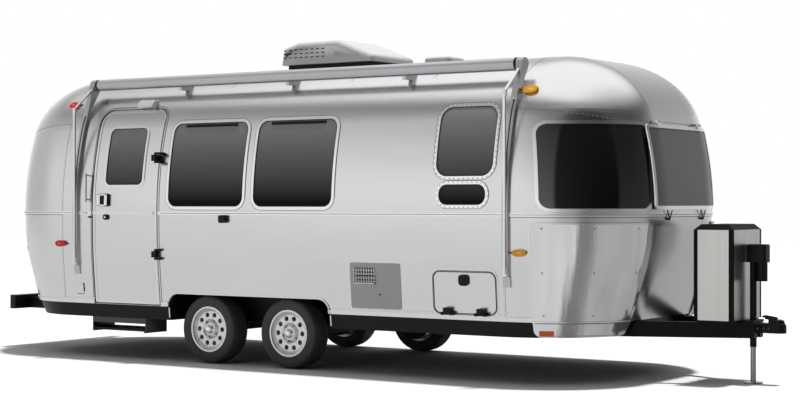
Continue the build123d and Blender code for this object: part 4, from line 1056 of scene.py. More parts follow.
@dataclass
class Door:
    """Edge trim, seal, handle, lock and strike of the entry door, and the brace beside it."""

    leaf: Skin
    wall: Skin
    fittings: Skin
    step: float = 0.02
    trim: Strip = field(default_factory=lambda: Strip(0.022, 0.0035))
    trim_inset: float = 0.016
    seal: Strip = field(default_factory=lambda: Strip(0.006, 0.002))
    seal_out: float = 0.024
    foot_radius: float = 0.024
    handle: Point = (-2.222, 1.478)
    handle_size: Point = (0.124, 0.114)
    # Widths of the surround's upright and level bars, their depth and edges
    surround: Point = (0.036, 0.016)
    surround_depth: float = 0.008
    surround_edge: float = 0.0035
    paddle_size: Place = (0.034, 0.076, 0.012)
    paddle_edge: float = 0.004
    lock: Point = (-2.192, 1.318)
    lock_outline: tuple[Point, ...] = ((0.0, 0.003), (0.009, 0.003), (0.011, 0.0), (0.011, -0.002))
    lock_steps: int = 16
    strike: Point = (-2.400, 1.318)
    strike_size: Place = (0.042, 0.016, 0.024)
    strike_edge: float = 0.006
    brace: Point = (-2.478, 1.357)
    brace_size: Place = (0.075, 0.022, 0.034)
    brace_edge: float = 0.005

    def build(self) -> None:
        """Make all of them."""
        with piece("door_edge_trim", BRIGHT, DOOR_BODY) as bm:
            hits = DOOR.hits(self.leaf, -self.trim_inset, self.step, self.foot_radius)
            self.trim.add(bm, hits, closed=True)
        with piece("door_frame_seal", SEAM_SHADE) as bm:
            self.seal.add(bm, DOOR.hits(self.wall, self.seal_out, self.step, self.foot_radius))
        self._handle()
        with piece("door_strike", BLACK_PLASTIC) as bm:
            slab(bm, self.strike_size, facing(self.wall.side(CURB, *self.strike)), self.strike_edge)
        with piece("arm_side_brace", BRIGHT) as bm:
            slab(bm, self.brace_size, facing(self.wall.side(CURB, *self.brace)), self.brace_edge)

    def _handle(self) -> None:
        """Chrome surround and paddle on the handle's plate, and the lock's face."""
        place = facing(self.fittings.side(CURB, *self.handle))
        width, height = self.handle_size
        upright, level = self.surround
        depth, edge = self.surround_depth, self.surround_edge
        with piece("door_handle_surround", CHROME, DOOR_BODY) as bm:
            for way in (-1, 1):
                beside = Matrix.Translation((way * (width - upright) / 2, 0, 0))
                slab(bm, (upright, height, depth), place @ beside, edge)
                above = Matrix.Translation((0, way * (height - level) / 2, 0))
                slab(bm, (width, level, depth), place @ above, edge)
        with piece("door_handle_paddle", BLACK_PLASTIC, DOOR_BODY) as bm:
            slab(bm, self.paddle_size, place, self.paddle_edge)
        with piece("door_lock_face", CHROME, DOOR_BODY) as bm:
            face = facing(self.fittings.side(CURB, *self.lock))
            lathe(bm, self.lock_outline, face, self.lock_steps)


@dataclass
class Flaps:
    """Frames and details of the service hatch, the heater panel and a small cover."""

    wall: Skin
    heater: Skin
    step: float = 0.02
    seal: Strip = field(default_factory=lambda: Strip(0.006, 0.002))
    seal_out: float = 0.012
    rim: Strip = field(default_factory=lambda: Strip(0.012, 0.0035))
    rim_out: float = 0.025
    louvre_xs: Point = (0.632, 0.842)
    louvre_zs: tuple[float, ...] = (0.815, 0.885)
    louvre_bars: int = 9
    louvre_size: Place = (0.007, 0.052, 0.006)
    louvre_edge: float = 0.002
    ledge_drop: float = 0.038
    ledge_size: Place = (0.215, 0.012, 0.012)
    ledge_edge: float = 0.003
    # Below the panel's top edge by this much its outside is plain
    plain_drop: float = 0.012
    keyhole: Point = (0.888, 0.686)
    keyhole_outline: tuple[Point, ...] = ((0.0, 0.003), (0.007, 0.003), (0.009, 0.0), (0.009, -0.003))
    keyhole_steps: int = 12
    cover: Point = (-2.560, 0.645)
    cover_size: float = 0.105
    cover_depth: float = 0.010
    cover_edge: float = 0.004
    # Width, depth and edge radius of the painted shadow strips along the cover's hinge side and foot
    hinge_edge: Place = (0.008, 0.014, 0.003)
    foot_shadow: Place = (0.005, 0.012, 0.002)
    shadow_share: float = 0.8
    edge_shift: float = 0.01

    def build(self) -> None:
        """Make all of them."""
        with piece("hatch_seal", SEAM_SHADE) as bm:
            self.seal.add(bm, HATCH.hits(self.wall, self.seal_out, self.step), closed=True)
        with piece("hatch_rim", BRIGHT) as bm:
            self.rim.add(bm, HATCH.hits(self.wall, self.rim_out, self.step), closed=True)
        self._heater()
        self._cover()

    def _on_panel(self, x: float, z: float) -> Matrix:
        """The place at x, z in front of the louvres, as far out as the panel's plain edge."""
        point, normal = self.heater.side(CURB, x, HEATER.top - self.plain_drop)
        return facing((Vector((x, point.y, z)), normal))

    def _heater(self) -> None:
        """Upright bars and a ledge over the heater's louvres, and its keyhole."""
        first, last = self.louvre_xs
        with piece("heater_louvre_bars", WHITE_PLASTIC) as bm:
            for z in self.louvre_zs:
                for x in span(first, last, (last - first) / (self.louvre_bars - 1)):
                    slab(bm, self.louvre_size, self._on_panel(x, z), self.louvre_edge)
            ledge = self._on_panel(sum(self.louvre_xs) / 2, self.louvre_zs[0] - self.ledge_drop)
            slab(bm, self.ledge_size, ledge, self.ledge_edge)
        with piece("heater_keyhole", BLACK_PLASTIC) as bm:
            face = facing(self.heater.side(CURB, *self.keyhole))
            lathe(bm, self.keyhole_outline, face, self.keyhole_steps)

    def _cover(self) -> None:
        """A small square cover on the wall, with a painted shadow, dark strips along its hinge side and
        foot.
        """
        place = facing(self.wall.side(CURB, *self.cover))
        size, long = self.cover_size, self.cover_size * self.shadow_share
        with piece("small_cover", SHELL) as bm:
            slab(bm, (size, size, self.cover_depth), place, self.cover_edge)
        # Painted shadow: black rubber strips along one side and the foot of the cover
        with piece("small_cover_edge", RUBBER) as bm:
            width, depth, edge = self.hinge_edge
            beside = Matrix.Translation((size / 2, self.edge_shift, 0))
            slab(bm, (width, long, depth), place @ beside, edge)
            width, depth, edge = self.foot_shadow
            below = Matrix.Translation((self.edge_shift, -size / 2, 0))
            slab(bm, (long, width, depth), place @ below, edge)


@dataclass
class Wheels:
    """Treaded tyres that stand for the plain ones, and the details of the rims."""

    nodes: dict[str, bpy.types.Object]
    steps: int = 96
    # Distance from the tyre's middle and radius, from the inner bead to the crown
    outline: tuple[Point, ...] = (
        (0.0930, 0.2030), (0.0985, 0.2090), (0.1022, 0.2200), (0.1040, 0.2210), (0.1045, 0.2260),
        (0.1042, 0.2270), (0.1068, 0.2420), (0.1075, 0.2580), (0.1058, 0.2750), (0.1010, 0.2890),
        (0.0990, 0.2930), (0.0920, 0.2985), (0.0800, 0.3040), (0.0720, 0.3062), (0.0480, 0.3088),
        (0.0470, 0.3010), (0.0400, 0.3010), (0.0390, 0.3092), (0.0060, 0.3100), (0.0050, 0.3020),
    )
    # Reach of the shoulders and ribs from the tyre's middle, and the radius outside which sipes lie
    shoulder: Point = (0.0725, 0.0985)
    shoulder_radius: float = 0.295
    shoulder_every: int = 3
    rib: Point = (0.0065, 0.0385)
    rib_radius: float = 0.3085
    rib_every: int = 4
    # First pressed step of the inner and the outer half's ribs
    rib_starts: tuple[int, int] = (3, 1)
    # Share of a step that keeps rounding from changing the count
    nudge: float = 0.001
    # Margin and depth of a sipe
    sipe: Point = (0.004, 0.005)
    tread_angle: float = 32.0
    nut_circle: float = 0.066
    nuts: int = 6
    nut_sides: int = 6
    # Turn of the first nut, as a share of the step between two
    nut_turn: float = 0.25
    lug_outline: tuple[Point, ...] = (
        (0.0, -0.002), (0.013, -0.002), (0.013, 0.016), (0.0115, 0.021), (0.007, 0.026), (0.0, 0.028),
    )
    # Height above the hub's middle where the rim's face is plain
    face_rise: float = 0.03
    cap_outline: tuple[Point, ...] = (
        (0.0, -0.002), (0.040, -0.002), (0.041, 0.003), (0.034, 0.008), (0.032, 0.026),
        (0.029, 0.034), (0.018, 0.039), (0.0, 0.041),
    )
    cap_steps: int = 24
    plate_outline: tuple[Point, ...] = (
        (0.0, 0.0), (0.180, 0.0), (0.186, 0.003), (0.186, 0.007), (0.150, 0.009), (0.130, 0.003),
        (0.0, 0.003),
    )
    plate_y: float = 0.862
    plate_steps: int = 32
    valve_circle: float = 0.176
    valve_turn: float = 215.0
    valve_outline: tuple[Point, ...] = (
        (0.0, -0.004), (0.006, -0.004), (0.005, 0.018), (0.004, 0.026), (0.0, 0.027),
    )
    valve_steps: int = 10

    def build(self) -> None:
        """Make the four wheels."""
        for side, word in SIDES:
            for axle in ("rear", "front"):
                self._tyre(word, axle)
                self._rim(side, word, axle)
                self._plate(side, word, axle)

    def _middle(self, node: str) -> Vector:
        """The middle of a node's box."""
        low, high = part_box(node)
        return (low + high) / 2

    def _tyre(self, word: str, axle: str) -> None:
        """A tyre with grooves, sipes and a raised ring on its sidewalls.

        Args:
            word: Its side.
            axle: Its axle.
        """
        node = f"tyre_{word}_{axle}"
        place = Matrix.Translation(self._middle(node)) @ Matrix.Rotation(math.radians(90), 4, "X")
        half = [(radius, out) for out, radius in self.outline]
        profile = [(radius, -out) for radius, out in half] + half[::-1]
        bm = bmesh.new()
        faces = lathe(bm, profile, place, self.steps)
        self._tread(bm, faces, place.inverted())
        tyre = finished(bm, f"{node}_treaded", TYRE_RUBBER, f"wheel_{word}_{axle}")
        tyre.data.polygons.foreach_set("use_smooth", [True] * len(tyre.data.polygons))
        split = tyre.modifiers.new("sharp edges", "EDGE_SPLIT")
        split.split_angle = math.radians(self.tread_angle)
        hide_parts(node)

    def _tread(self, bm: bmesh.types.BMesh, faces: list[bmesh.types.BMFace], back: Matrix) -> None:
        """Press sipes into the shoulders and ribs.

        Args:
            bm: The tyre's mesh.
            faces: Its faces.
            back: Matrix from the frame to the tyre's own axes.
        """
        pressed = []
        for face in faces:
            spot = back @ face.calc_center_median()
            step = math.floor((math.atan2(spot.y, spot.x) / math.tau + 1.0) * self.steps + self.nudge)
            out, radius = abs(spot.z), spot.xy.length
            shoulder = self.shoulder[0] < out < self.shoulder[1] and radius > self.shoulder_radius
            rib = self.rib[0] < out < self.rib[1] and radius > self.rib_radius
            start = self.rib_starts[spot.z > 0]
            if (shoulder and step % self.shoulder_every == 0) or (rib and step % self.rib_every == start):
                pressed.append(face)
        margin, depth = self.sipe
        bmesh.ops.inset_individual(bm, faces=pressed, thickness=margin, depth=-depth)

    def _plate(self, side: int, word: str, axle: str) -> None:
        """The brake's backing plate on the axle's end.

        Args:
            side: CURB or STREET.
            word: Its name.
            axle: Its axle.
        """
        hub = self._middle(f"rim_{word}_{axle}")
        place = facing((Vector((hub.x, side * self.plate_y, hub.z)), Vector((0, side, 0))))
        with piece(f"brake_plate_{word}_{axle}", BLACK_PAINT) as bm:
            lathe(bm, self.plate_outline, place, self.plate_steps)

    def _rim(self, side: int, word: str, axle: str) -> None:
        """Lug nuts, hub cap and valve of one rim.

        Args:
            side: CURB or STREET.
            word: Its name.
            axle: Its axle.
        """
        body = f"wheel_{word}_{axle}"
        node = f"rim_{word}_{axle}"
        hub = self._middle(node)
        skin = Skin([node], self.nodes)

        def on_circle(radius: float, turn: float) -> Hit | None:
            """The rim's point at a radius and an angle round the hub."""
            return skin.side(side, hub.x + radius * math.cos(turn), hub.z + radius * math.sin(turn))

        with piece(f"lug_nuts_{word}_{axle}", CHROME, body) as bm:
            for i in range(self.nuts):
                turn = math.tau * (i + self.nut_turn) / self.nuts
                lathe(bm, self.lug_outline, facing(on_circle(self.nut_circle, turn)), self.nut_sides)
        out = Vector((0, side, 0))
        face = skin.side(side, hub.x, hub.z + self.face_rise) or (hub, out)
        with piece(f"hub_cap_{word}_{axle}", CHROME, body, TURNED_ANGLE) as bm:
            place = facing((Vector((hub.x, face[0].y, hub.z)), out))
            lathe(bm, self.cap_outline, place, self.cap_steps)
        hit = on_circle(self.valve_circle, math.radians(self.valve_turn))
        if hit:
            with piece(f"valve_{word}_{axle}", RUBBER, body) as bm:
                lathe(bm, self.valve_outline, facing(hit), self.valve_steps)


@dataclass
class Arches:
    """Bright lips round the wheel arches."""

    skin: Skin
    lip: Strip = field(default_factory=lambda: Strip(0.012, 0.008))
    rear: float = -1.455
    front: float = 0.350
    top: float = 0.625
    foot: float = 0.400
    radius: float = 0.110
    corner_steps: int = 10
    out: float = 0.007
    pitch: float = 0.015

    def build(self) -> None:
        """Make the two lips."""
        width, height = self.front - self.rear + 2 * self.out, 2 * (self.top - self.foot + self.out)
        loop = walk(rounded(width, height, self.radius + self.out, self.corner_steps), self.pitch)
        upper = [p for p in loop if p[1] > 0]
        upper.sort(key=lambda p: -math.atan2(p[1], p[0]))
        middle = (self.rear + self.front) / 2
        with piece("arch_lips", BRIGHT) as bm:
            for side in (CURB, STREET):
                hits = kept(self.skin.side(side, middle + x, self.foot + z) for x, z in upper)
                self.lip.add(bm, [hit for hit in hits if hit[0].y * side > WALL_LEAST_Y])


@dataclass
class Awning:
    """Straight arms, tube ends and the seams of the rolled awning."""

    arm_xs: Point = (-2.576, 2.116)
    arm_y: float = -1.298
    arm_foot: float = 0.885
    arm_bend: float = 2.330
    arm_size: Point = (0.026, 0.018)
    arm_edge: float = 0.004
    # The arm's head, from the tube's middle
    head_shift: Point = (-0.028, -0.02)
    # Inward shift, drop, rise, and growth in width and depth of the blocks at the bend and foot
    bend_block: tuple[float, ...] = (0.004, 0.03, 0.02, 0.012, 0.006)
    foot_block: tuple[float, ...] = (0.02, 0.02, 0.06, 0.014, 0.02)
    block_edge: float = 0.005
    tube_y: float = -1.005
    tube_z: float = 2.575
    tube_radius: float = 0.052
    end_inset: float = 0.022
    end_outline: tuple[Point, ...] = (
        (0.0, -0.01), (0.0535, -0.01), (0.0535, 0.014), (0.040, 0.020), (0.012, 0.020), (0.0, 0.026),
    )
    end_steps: int = 28
    seam_turns: tuple[float, ...] = (-62.0, -118.0, 24.0)
    # Length that the seams leave free at both ends together, and their width, depth and edges
    seam_free: float = 0.06
    seam_size: Point = (0.012, 0.005)
    seam_edge: float = 0.001

    def build(self) -> None:
        """Make the arms, the tube's ends and the seams."""
        with piece("awning_straight_arms", BRIGHT) as bm:
            for x in self.arm_xs:
                self._arm(bm, x)
        low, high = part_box("awning_roller")
        with piece("awning_tube_ends", BLACK_PLASTIC, BODY, TURNED_ANGLE) as bm:
            for x, way in ((low.x, -1), (high.x, 1)):
                turn = Matrix.Rotation(math.radians(90 * way), 4, "Y")
                place = Matrix.Translation((x - way * self.end_inset, self.tube_y, self.tube_z)) @ turn
                lathe(bm, self.end_outline, place, self.end_steps)
        length = high.x - low.x - self.seam_free
        with piece("awning_cover_seams", SEAM_SHADE) as bm:
            for angle in map(math.radians, self.seam_turns):
                y = self.tube_y + self.tube_radius * math.cos(angle)
                z = self.tube_z + self.tube_radius * math.sin(angle)
                middle = Matrix.Translation(((low.x + high.x) / 2, y, z))
                place = middle @ Matrix.Rotation(angle, 4, "X")
                slab(bm, (length, *self.seam_size), place, self.seam_edge, segments=1)

    def _arm(self, bm: bmesh.types.BMesh, x: float) -> None:
        """One arm: upright, the diagonal up to the tube, and blocks at its bend and foot.

        Args:
            bm: Mesh to add to.
            x: Where it stands.
        """
        width, depth = self.arm_size
        foot = (x, self.arm_y, self.arm_foot)
        bend = (x, self.arm_y, self.arm_bend)
        head = (x, self.tube_y + self.head_shift[0], self.tube_z + self.head_shift[1])
        bar(bm, foot, bend, width, depth, self.arm_edge)
        bar(bm, bend, head, width, depth, self.arm_edge)
        for z, block in ((self.arm_bend, self.bend_block), (self.arm_foot, self.foot_block)):
            shift, drop, rise, wider, deeper = block
            start, end = (x, self.arm_y + shift, z - drop), (x, self.arm_y + shift, z + rise)
            bar(bm, start, end, width + wider, depth + deeper, self.block_edge)


@dataclass
class Roof:
    """Slots in the sides of the roof unit."""

    shroud: Skin
    slot_zs: tuple[float, ...] = (2.800, 2.836, 2.872)
    slot_xs: Point = (-0.80, -0.36)
    slot_size: Place = (0.036, 0.009, 0.006)
    slot_edge: float = 0.002
    pitch: float = 0.062

    def build(self) -> None:
        """Make the slots on both sides."""
        with piece("roof_unit_slots", BLACK_PLASTIC) as bm:
            for side in (CURB, STREET):
                for z in self.slot_zs:
                    spots = [(x, z) for x in span(*self.slot_xs, self.pitch)]
                    for hit in kept(self.shroud.side(side, *spot) for spot in spots):
                        slab(bm, self.slot_size, facing(hit), self.slot_edge, segments=1)


@dataclass
class Tongue:
    """Latch, dome and bolts of the coupler, and the panels of the jack's head."""

    latch_x: float = 3.845
    latch_z: float = 0.488
    # Shift in x and z from the latch's place, size and edge radius of its two blocks
    latch_blocks: tuple[tuple[Point, Place, float], ...] = (
        ((0.0, 0.014), (0.070, 0.060, 0.034), 0.008),
        ((-0.075, 0.054), (0.024, 0.044, 0.016), 0.005),
    )
    # Shift in x and z of the lever's two ends, its width, depth and edges
    lever: tuple[Point, Point] = ((-0.07, 0.050), (0.035, 0.034))
    lever_size: Place = (0.034, 0.012, 0.004)
    dome_x: float = 3.892
    dome_outline: tuple[Point, ...] = (
        (0.046, -0.006), (0.046, 0.010), (0.040, 0.024), (0.022, 0.033), (0.0, 0.036),
    )
    dome_steps: int = 24
    # x of each pair of bolts, and the share of the coupler's half width where it sits
    bolts: tuple[Point, ...] = ((3.750, 0.97), (3.790, 0.62), (3.830, 0.62))
    bolt_z: float = 0.452
    bolt_outline: tuple[Point, ...] = (
        (0.0, -0.01), (0.011, -0.01), (0.011, 0.007), (0.009, 0.009), (0.0, 0.009),
    )
    bolt_sides: int = 6
    # How much smaller the jack's cap is than its head, its height, sinking and edges
    cap_less: Point = (0.03, 0.028)
    cap_height: float = 0.022
    cap_sunk: float = 0.012
    cap_edge: float = 0.010
    panel_size: Place = (0.110, 0.010, 0.075)
    panel_sunk: Point = (0.006, 0.062)
    panel_edge: float = 0.0045

    def build(self) -> None:
        """Make all of them."""
        x, top = self.latch_x, self.latch_z
        with piece("coupler_latch", BLACK_PAINT) as bm:
            for (ahead, rise), size, edge in self.latch_blocks:
                slab(bm, size, Matrix.Translation((x + ahead, 0, top + rise)), edge)
            start, end = ((x + ahead, 0, top + rise) for ahead, rise in self.lever)
            bar(bm, start, end, *self.lever_size)
        with piece("coupler_dome", BLACK_PAINT, BODY, TURNED_ANGLE) as bm:
            lathe(bm, self.dome_outline, Matrix.Translation((self.dome_x, 0, top)), self.dome_steps)
        _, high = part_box("coupler")
        with piece("coupler_bolts", GLOSS_BLACK) as bm:
            for bolt_x, share in self.bolts:
                for side in (CURB, STREET):
                    spot = Vector((bolt_x, side * high.y * share, self.bolt_z))
                    lathe(bm, self.bolt_outline, facing((spot, Vector((0, side, 0)))), self.bolt_sides)
        self._jack()

    def _jack(self) -> None:
        """Rounded cap and side panels of the jack's head."""
        low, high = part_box("jack_body")
        x = (low.x + high.x) / 2
        less_x, less_y = self.cap_less
        size = (high.x - low.x - less_x, high.y - low.y - less_y, self.cap_height)
        inward, down = self.panel_sunk
        with piece("jack_head_panels", BLACK_PLASTIC) as bm:
            slab(bm, size, Matrix.Translation((x, 0, high.z - self.cap_sunk)), self.cap_edge, segments=3)
            for side in (CURB, STREET):
                place = Matrix.Translation((x, side * (high.y - inward), high.z - down))
                slab(bm, self.panel_size, place, self.panel_edge)


@dataclass
class Lamps:
    """Pointed noses beside the marker lamps' lenses, painted highlights on the lenses, and reflectors."""

    wall: Skin
    guards: Skin
    pan: Skin
    red: Skin
    amber: Skin
    # x and z of the lens, the way its nose points, and its finish
    markers: tuple[tuple[float, float, int, Finish], ...] = (
        (-2.821, 2.395, 1, RED_HOOD),
        (-2.775, 1.065, 1, RED_HOOD),
        (2.225, 2.365, -1, AMBER_HOOD),
        (2.237, 1.056, -1, AMBER_HOOD),
    )
    nose_reach: float = 0.048
    nose_outline: tuple[Point, ...] = (
        (0.0, -0.004), (0.024, -0.004), (0.0228, 0.008), (0.0144, 0.0341), (0.002, 0.055), (0.0, 0.055),
    )
    nose_flat: float = 0.62
    nose_steps: int = 14
    nose_angle: float = 40.0
    # Shift, size and edge radius of the painted highlight on each lens
    highlight_shift: float = 0.008
    highlight_size: Place = (0.040, 0.018, 0.0016)
    highlight_edge: float = 0.0006
    reflector: Point = (2.412, 0.416)
    reflector_size: Place = (0.118, 0.046, 0.012)
    # Where the skirt's reflectors sit: an upright axis, angles round it, and a height
    skirt_pivot: float = -2.8
    skirt_turns: Point = (228.0, 132.0)
    skirt_z: float = 0.438
    skirt_size: Place = (0.075, 0.070, 0.012)
    reflector_edge: float = 0.005

    def build(self) -> None:
        """Make the noses, the painted lens highlights and the reflectors of both sides."""
        for finish in (RED_HOOD, AMBER_HOOD):
            with piece(finish.name.replace(" ", "_"), finish, BODY, self.nose_angle) as bm:
                for x, z, way, own in self.markers:
                    if own is finish:
                        for side in (CURB, STREET):
                            self._nose(bm, side, x, z, way)
        for name, skin, hood, highlight in (
            ("red_lens_cores", self.red, RED_HOOD, RED_LENS_HIGHLIGHT),
            ("amber_lens_cores", self.amber, AMBER_HOOD, AMBER_LENS_HIGHLIGHT),
        ):
            spots = [(x - way * self.highlight_shift, z) for x, z, way, own in self.markers if own is hood]
            with piece(name, highlight) as bm:
                for side in (CURB, STREET):
                    for hit in kept(skin.side(side, x, z) for x, z in spots):
                        slab(bm, self.highlight_size, facing(hit), self.highlight_edge)
        with piece("guard_reflectors", AMBER_PLATE) as bm:
            for side in (CURB, STREET):
                hit = self.guards.side(side, *self.reflector)
                slab(bm, self.reflector_size, facing(hit), self.reflector_edge, segments=3)
        with piece("skirt_reflectors", RED_LENS) as bm:
            for turn in self.skirt_turns:
                hit = self.pan.round(self.skirt_pivot, turn, self.skirt_z)
                slab(bm, self.skirt_size, facing(hit), self.reflector_edge, segments=3)

    def _nose(self, bm: bmesh.types.BMesh, side: int, x: float, z: float, way: int) -> None:
        """A half-sunk pointed nose at one end of a lens.

        Args:
            bm: Mesh to add to.
            side: CURB or STREET.
            x: Middle of the lens.
            z: Its height.
            way: 1 where the nose points to the front.
        """
        hit = self.wall.side(side, x + way * self.nose_reach, z)
        turn = Matrix.Rotation(math.radians(90 * way), 4, "Y")
        flat = Matrix.Diagonal((self.nose_flat, 1.0, 1.0, 1.0))
        lathe(bm, self.nose_outline, Matrix.Translation(hit[0]) @ turn @ flat, self.nose_steps)


@dataclass
class FrontGuards:
    """Seams, edges and screws of the stone guards, and the window guard's catches."""

    guards: Skin
    shell: Skin
    pivot_x: float = 2.08
    turns: Point = (-78.0, -33.0)
    turn_pitch: float = 1.5
    seam_z: float = 0.508
    seam: Strip = field(default_factory=lambda: Strip(0.011, 0.003))
    shade_drop: float = 0.010
    shade: Strip = field(default_factory=lambda: Strip(0.006, 0.002))
    edge: Strip = field(default_factory=lambda: Strip(0.010, 0.004))
    edge_zs: Point = (0.394, 1.286)
    edge_x: float = 2.332
    edge_short: float = 0.06
    edge_pitch: float = 0.05
    screws: Rivets = field(default_factory=lambda: Rivets(radius=0.009, height=0.004, sides=10))
    screw_zs: tuple[float, ...] = (0.56, 0.90, 1.25)
    screw_turns: tuple[float, ...] = (-74.5, -56.0, -38.0)
    catch_ys: Point = (-0.33, 0.33)
    # Heights of a catch's foot and top, and of the shell's point behind it
    catch_zs: Point = (1.322, 1.392)
    catch_back_z: float = 1.375
    # How far in front of that point the foot, the tops and the block stand
    catch_outs: Place = (0.018, 0.016, 0.008)
    catch_reach: float = 0.048
    # Width, depth and edges of a catch's legs
    catch_leg: Place = (0.008, 0.008, 0.002)
    catch_block: Place = (0.022, 0.020, 0.020)
    catch_edge: float = 0.004

    def build(self) -> None:
        """Make all of them."""
        seam, shade, screws = bmesh.new(), bmesh.new(), []
        bottom, top = self.edge_zs
        for side in (CURB, STREET):
            turns = [-side * turn for turn in span(*self.turns, self.turn_pitch)]
            self.seam.add(seam, self._row(turns, self.seam_z))
            self.shade.add(shade, self._row(turns, self.seam_z - self.shade_drop))
            for z in self.edge_zs:
                self.edge.add(seam, self._row(turns, z))
            zs = span(bottom + self.edge_short, top - self.edge_short, self.edge_pitch)
            self.edge.add(seam, kept(self.guards.side(side, self.edge_x, z) for z in zs))
            for z in self.screw_zs:
                screws += self._row([-side * turn for turn in self.screw_turns], z)
        finished(seam, "stone_guard_seams", BRIGHT, BODY)
        finished(shade, "stone_guard_seam_shade", SEAM_SHADE, BODY)
        self.screws.build("stone_guard_screws", screws, STEEL, BODY)
        self._catches()

    def _row(self, turns: Sequence[float], z: float) -> list[Hit]:
        """Points of the stone guards at some angles and one height."""
        return kept(self.guards.round(self.pivot_x, turn, z) for turn in turns)

    def _catches(self) -> None:
        """Bent catches under the window guard's lower edge."""
        foot_z, top_z = self.catch_zs
        foot_out, top_out, block_out = self.catch_outs
        with piece("window_guard_catches", BLACK_PLASTIC) as bm:
            for y in self.catch_ys:
                x = self.shell.end(FRONT, y, self.catch_back_z)[0].x
                for reach in (-self.catch_reach, self.catch_reach):
                    start, end = (x + foot_out, y, foot_z), (x + top_out, y + reach, top_z)
                    bar(bm, start, end, *self.catch_leg)
                place = Matrix.Translation((x + block_out, y, foot_z))
                slab(bm, self.catch_block, place, self.catch_edge)


@dataclass
class Belt:
    """Painted shade: a dark line in the belt rail's groove, and a dark line under the rail at the ends."""

    rail: Skin
    shell: Skin
    height: float = 1.357
    foot: float = 1.338
    groove: Strip = field(default_factory=lambda: Strip(0.005, 0.0012))
    reach_x: Point = (-2.77, 2.08)
    pitch: float = 0.05
    turn_pitch: float = 2.0

    def build(self) -> None:
        """Make the painted shade in the groove, in its unbroken runs, and the painted shade line under the
        rail.
        """
        with piece("belt_rail_groove", SEAM_SHADE) as bm:
            for side in (CURB, STREET):
                run: list[Hit] = []
                for x in span(*self.reach_x, self.pitch):
                    hit = self.rail.side(side, x, self.height)
                    if hit and hit[0].y * side > WALL_LEAST_Y:
                        run.append(hit)
                        continue
                    self.groove.add(bm, run)
                    run = []
                self.groove.add(bm, run)
            for pivot, middle in ((self.reach_x[1], 0.0), (self.reach_x[0], 180.0)):
                turns = [middle + turn for turn in span(-90.0, 90.0, self.turn_pitch)]
                self.groove.add(bm, kept(self.rail.round(pivot, turn, self.height) for turn in turns))
                self.groove.add(bm, kept(self.shell.round(pivot, turn, self.foot) for turn in turns))


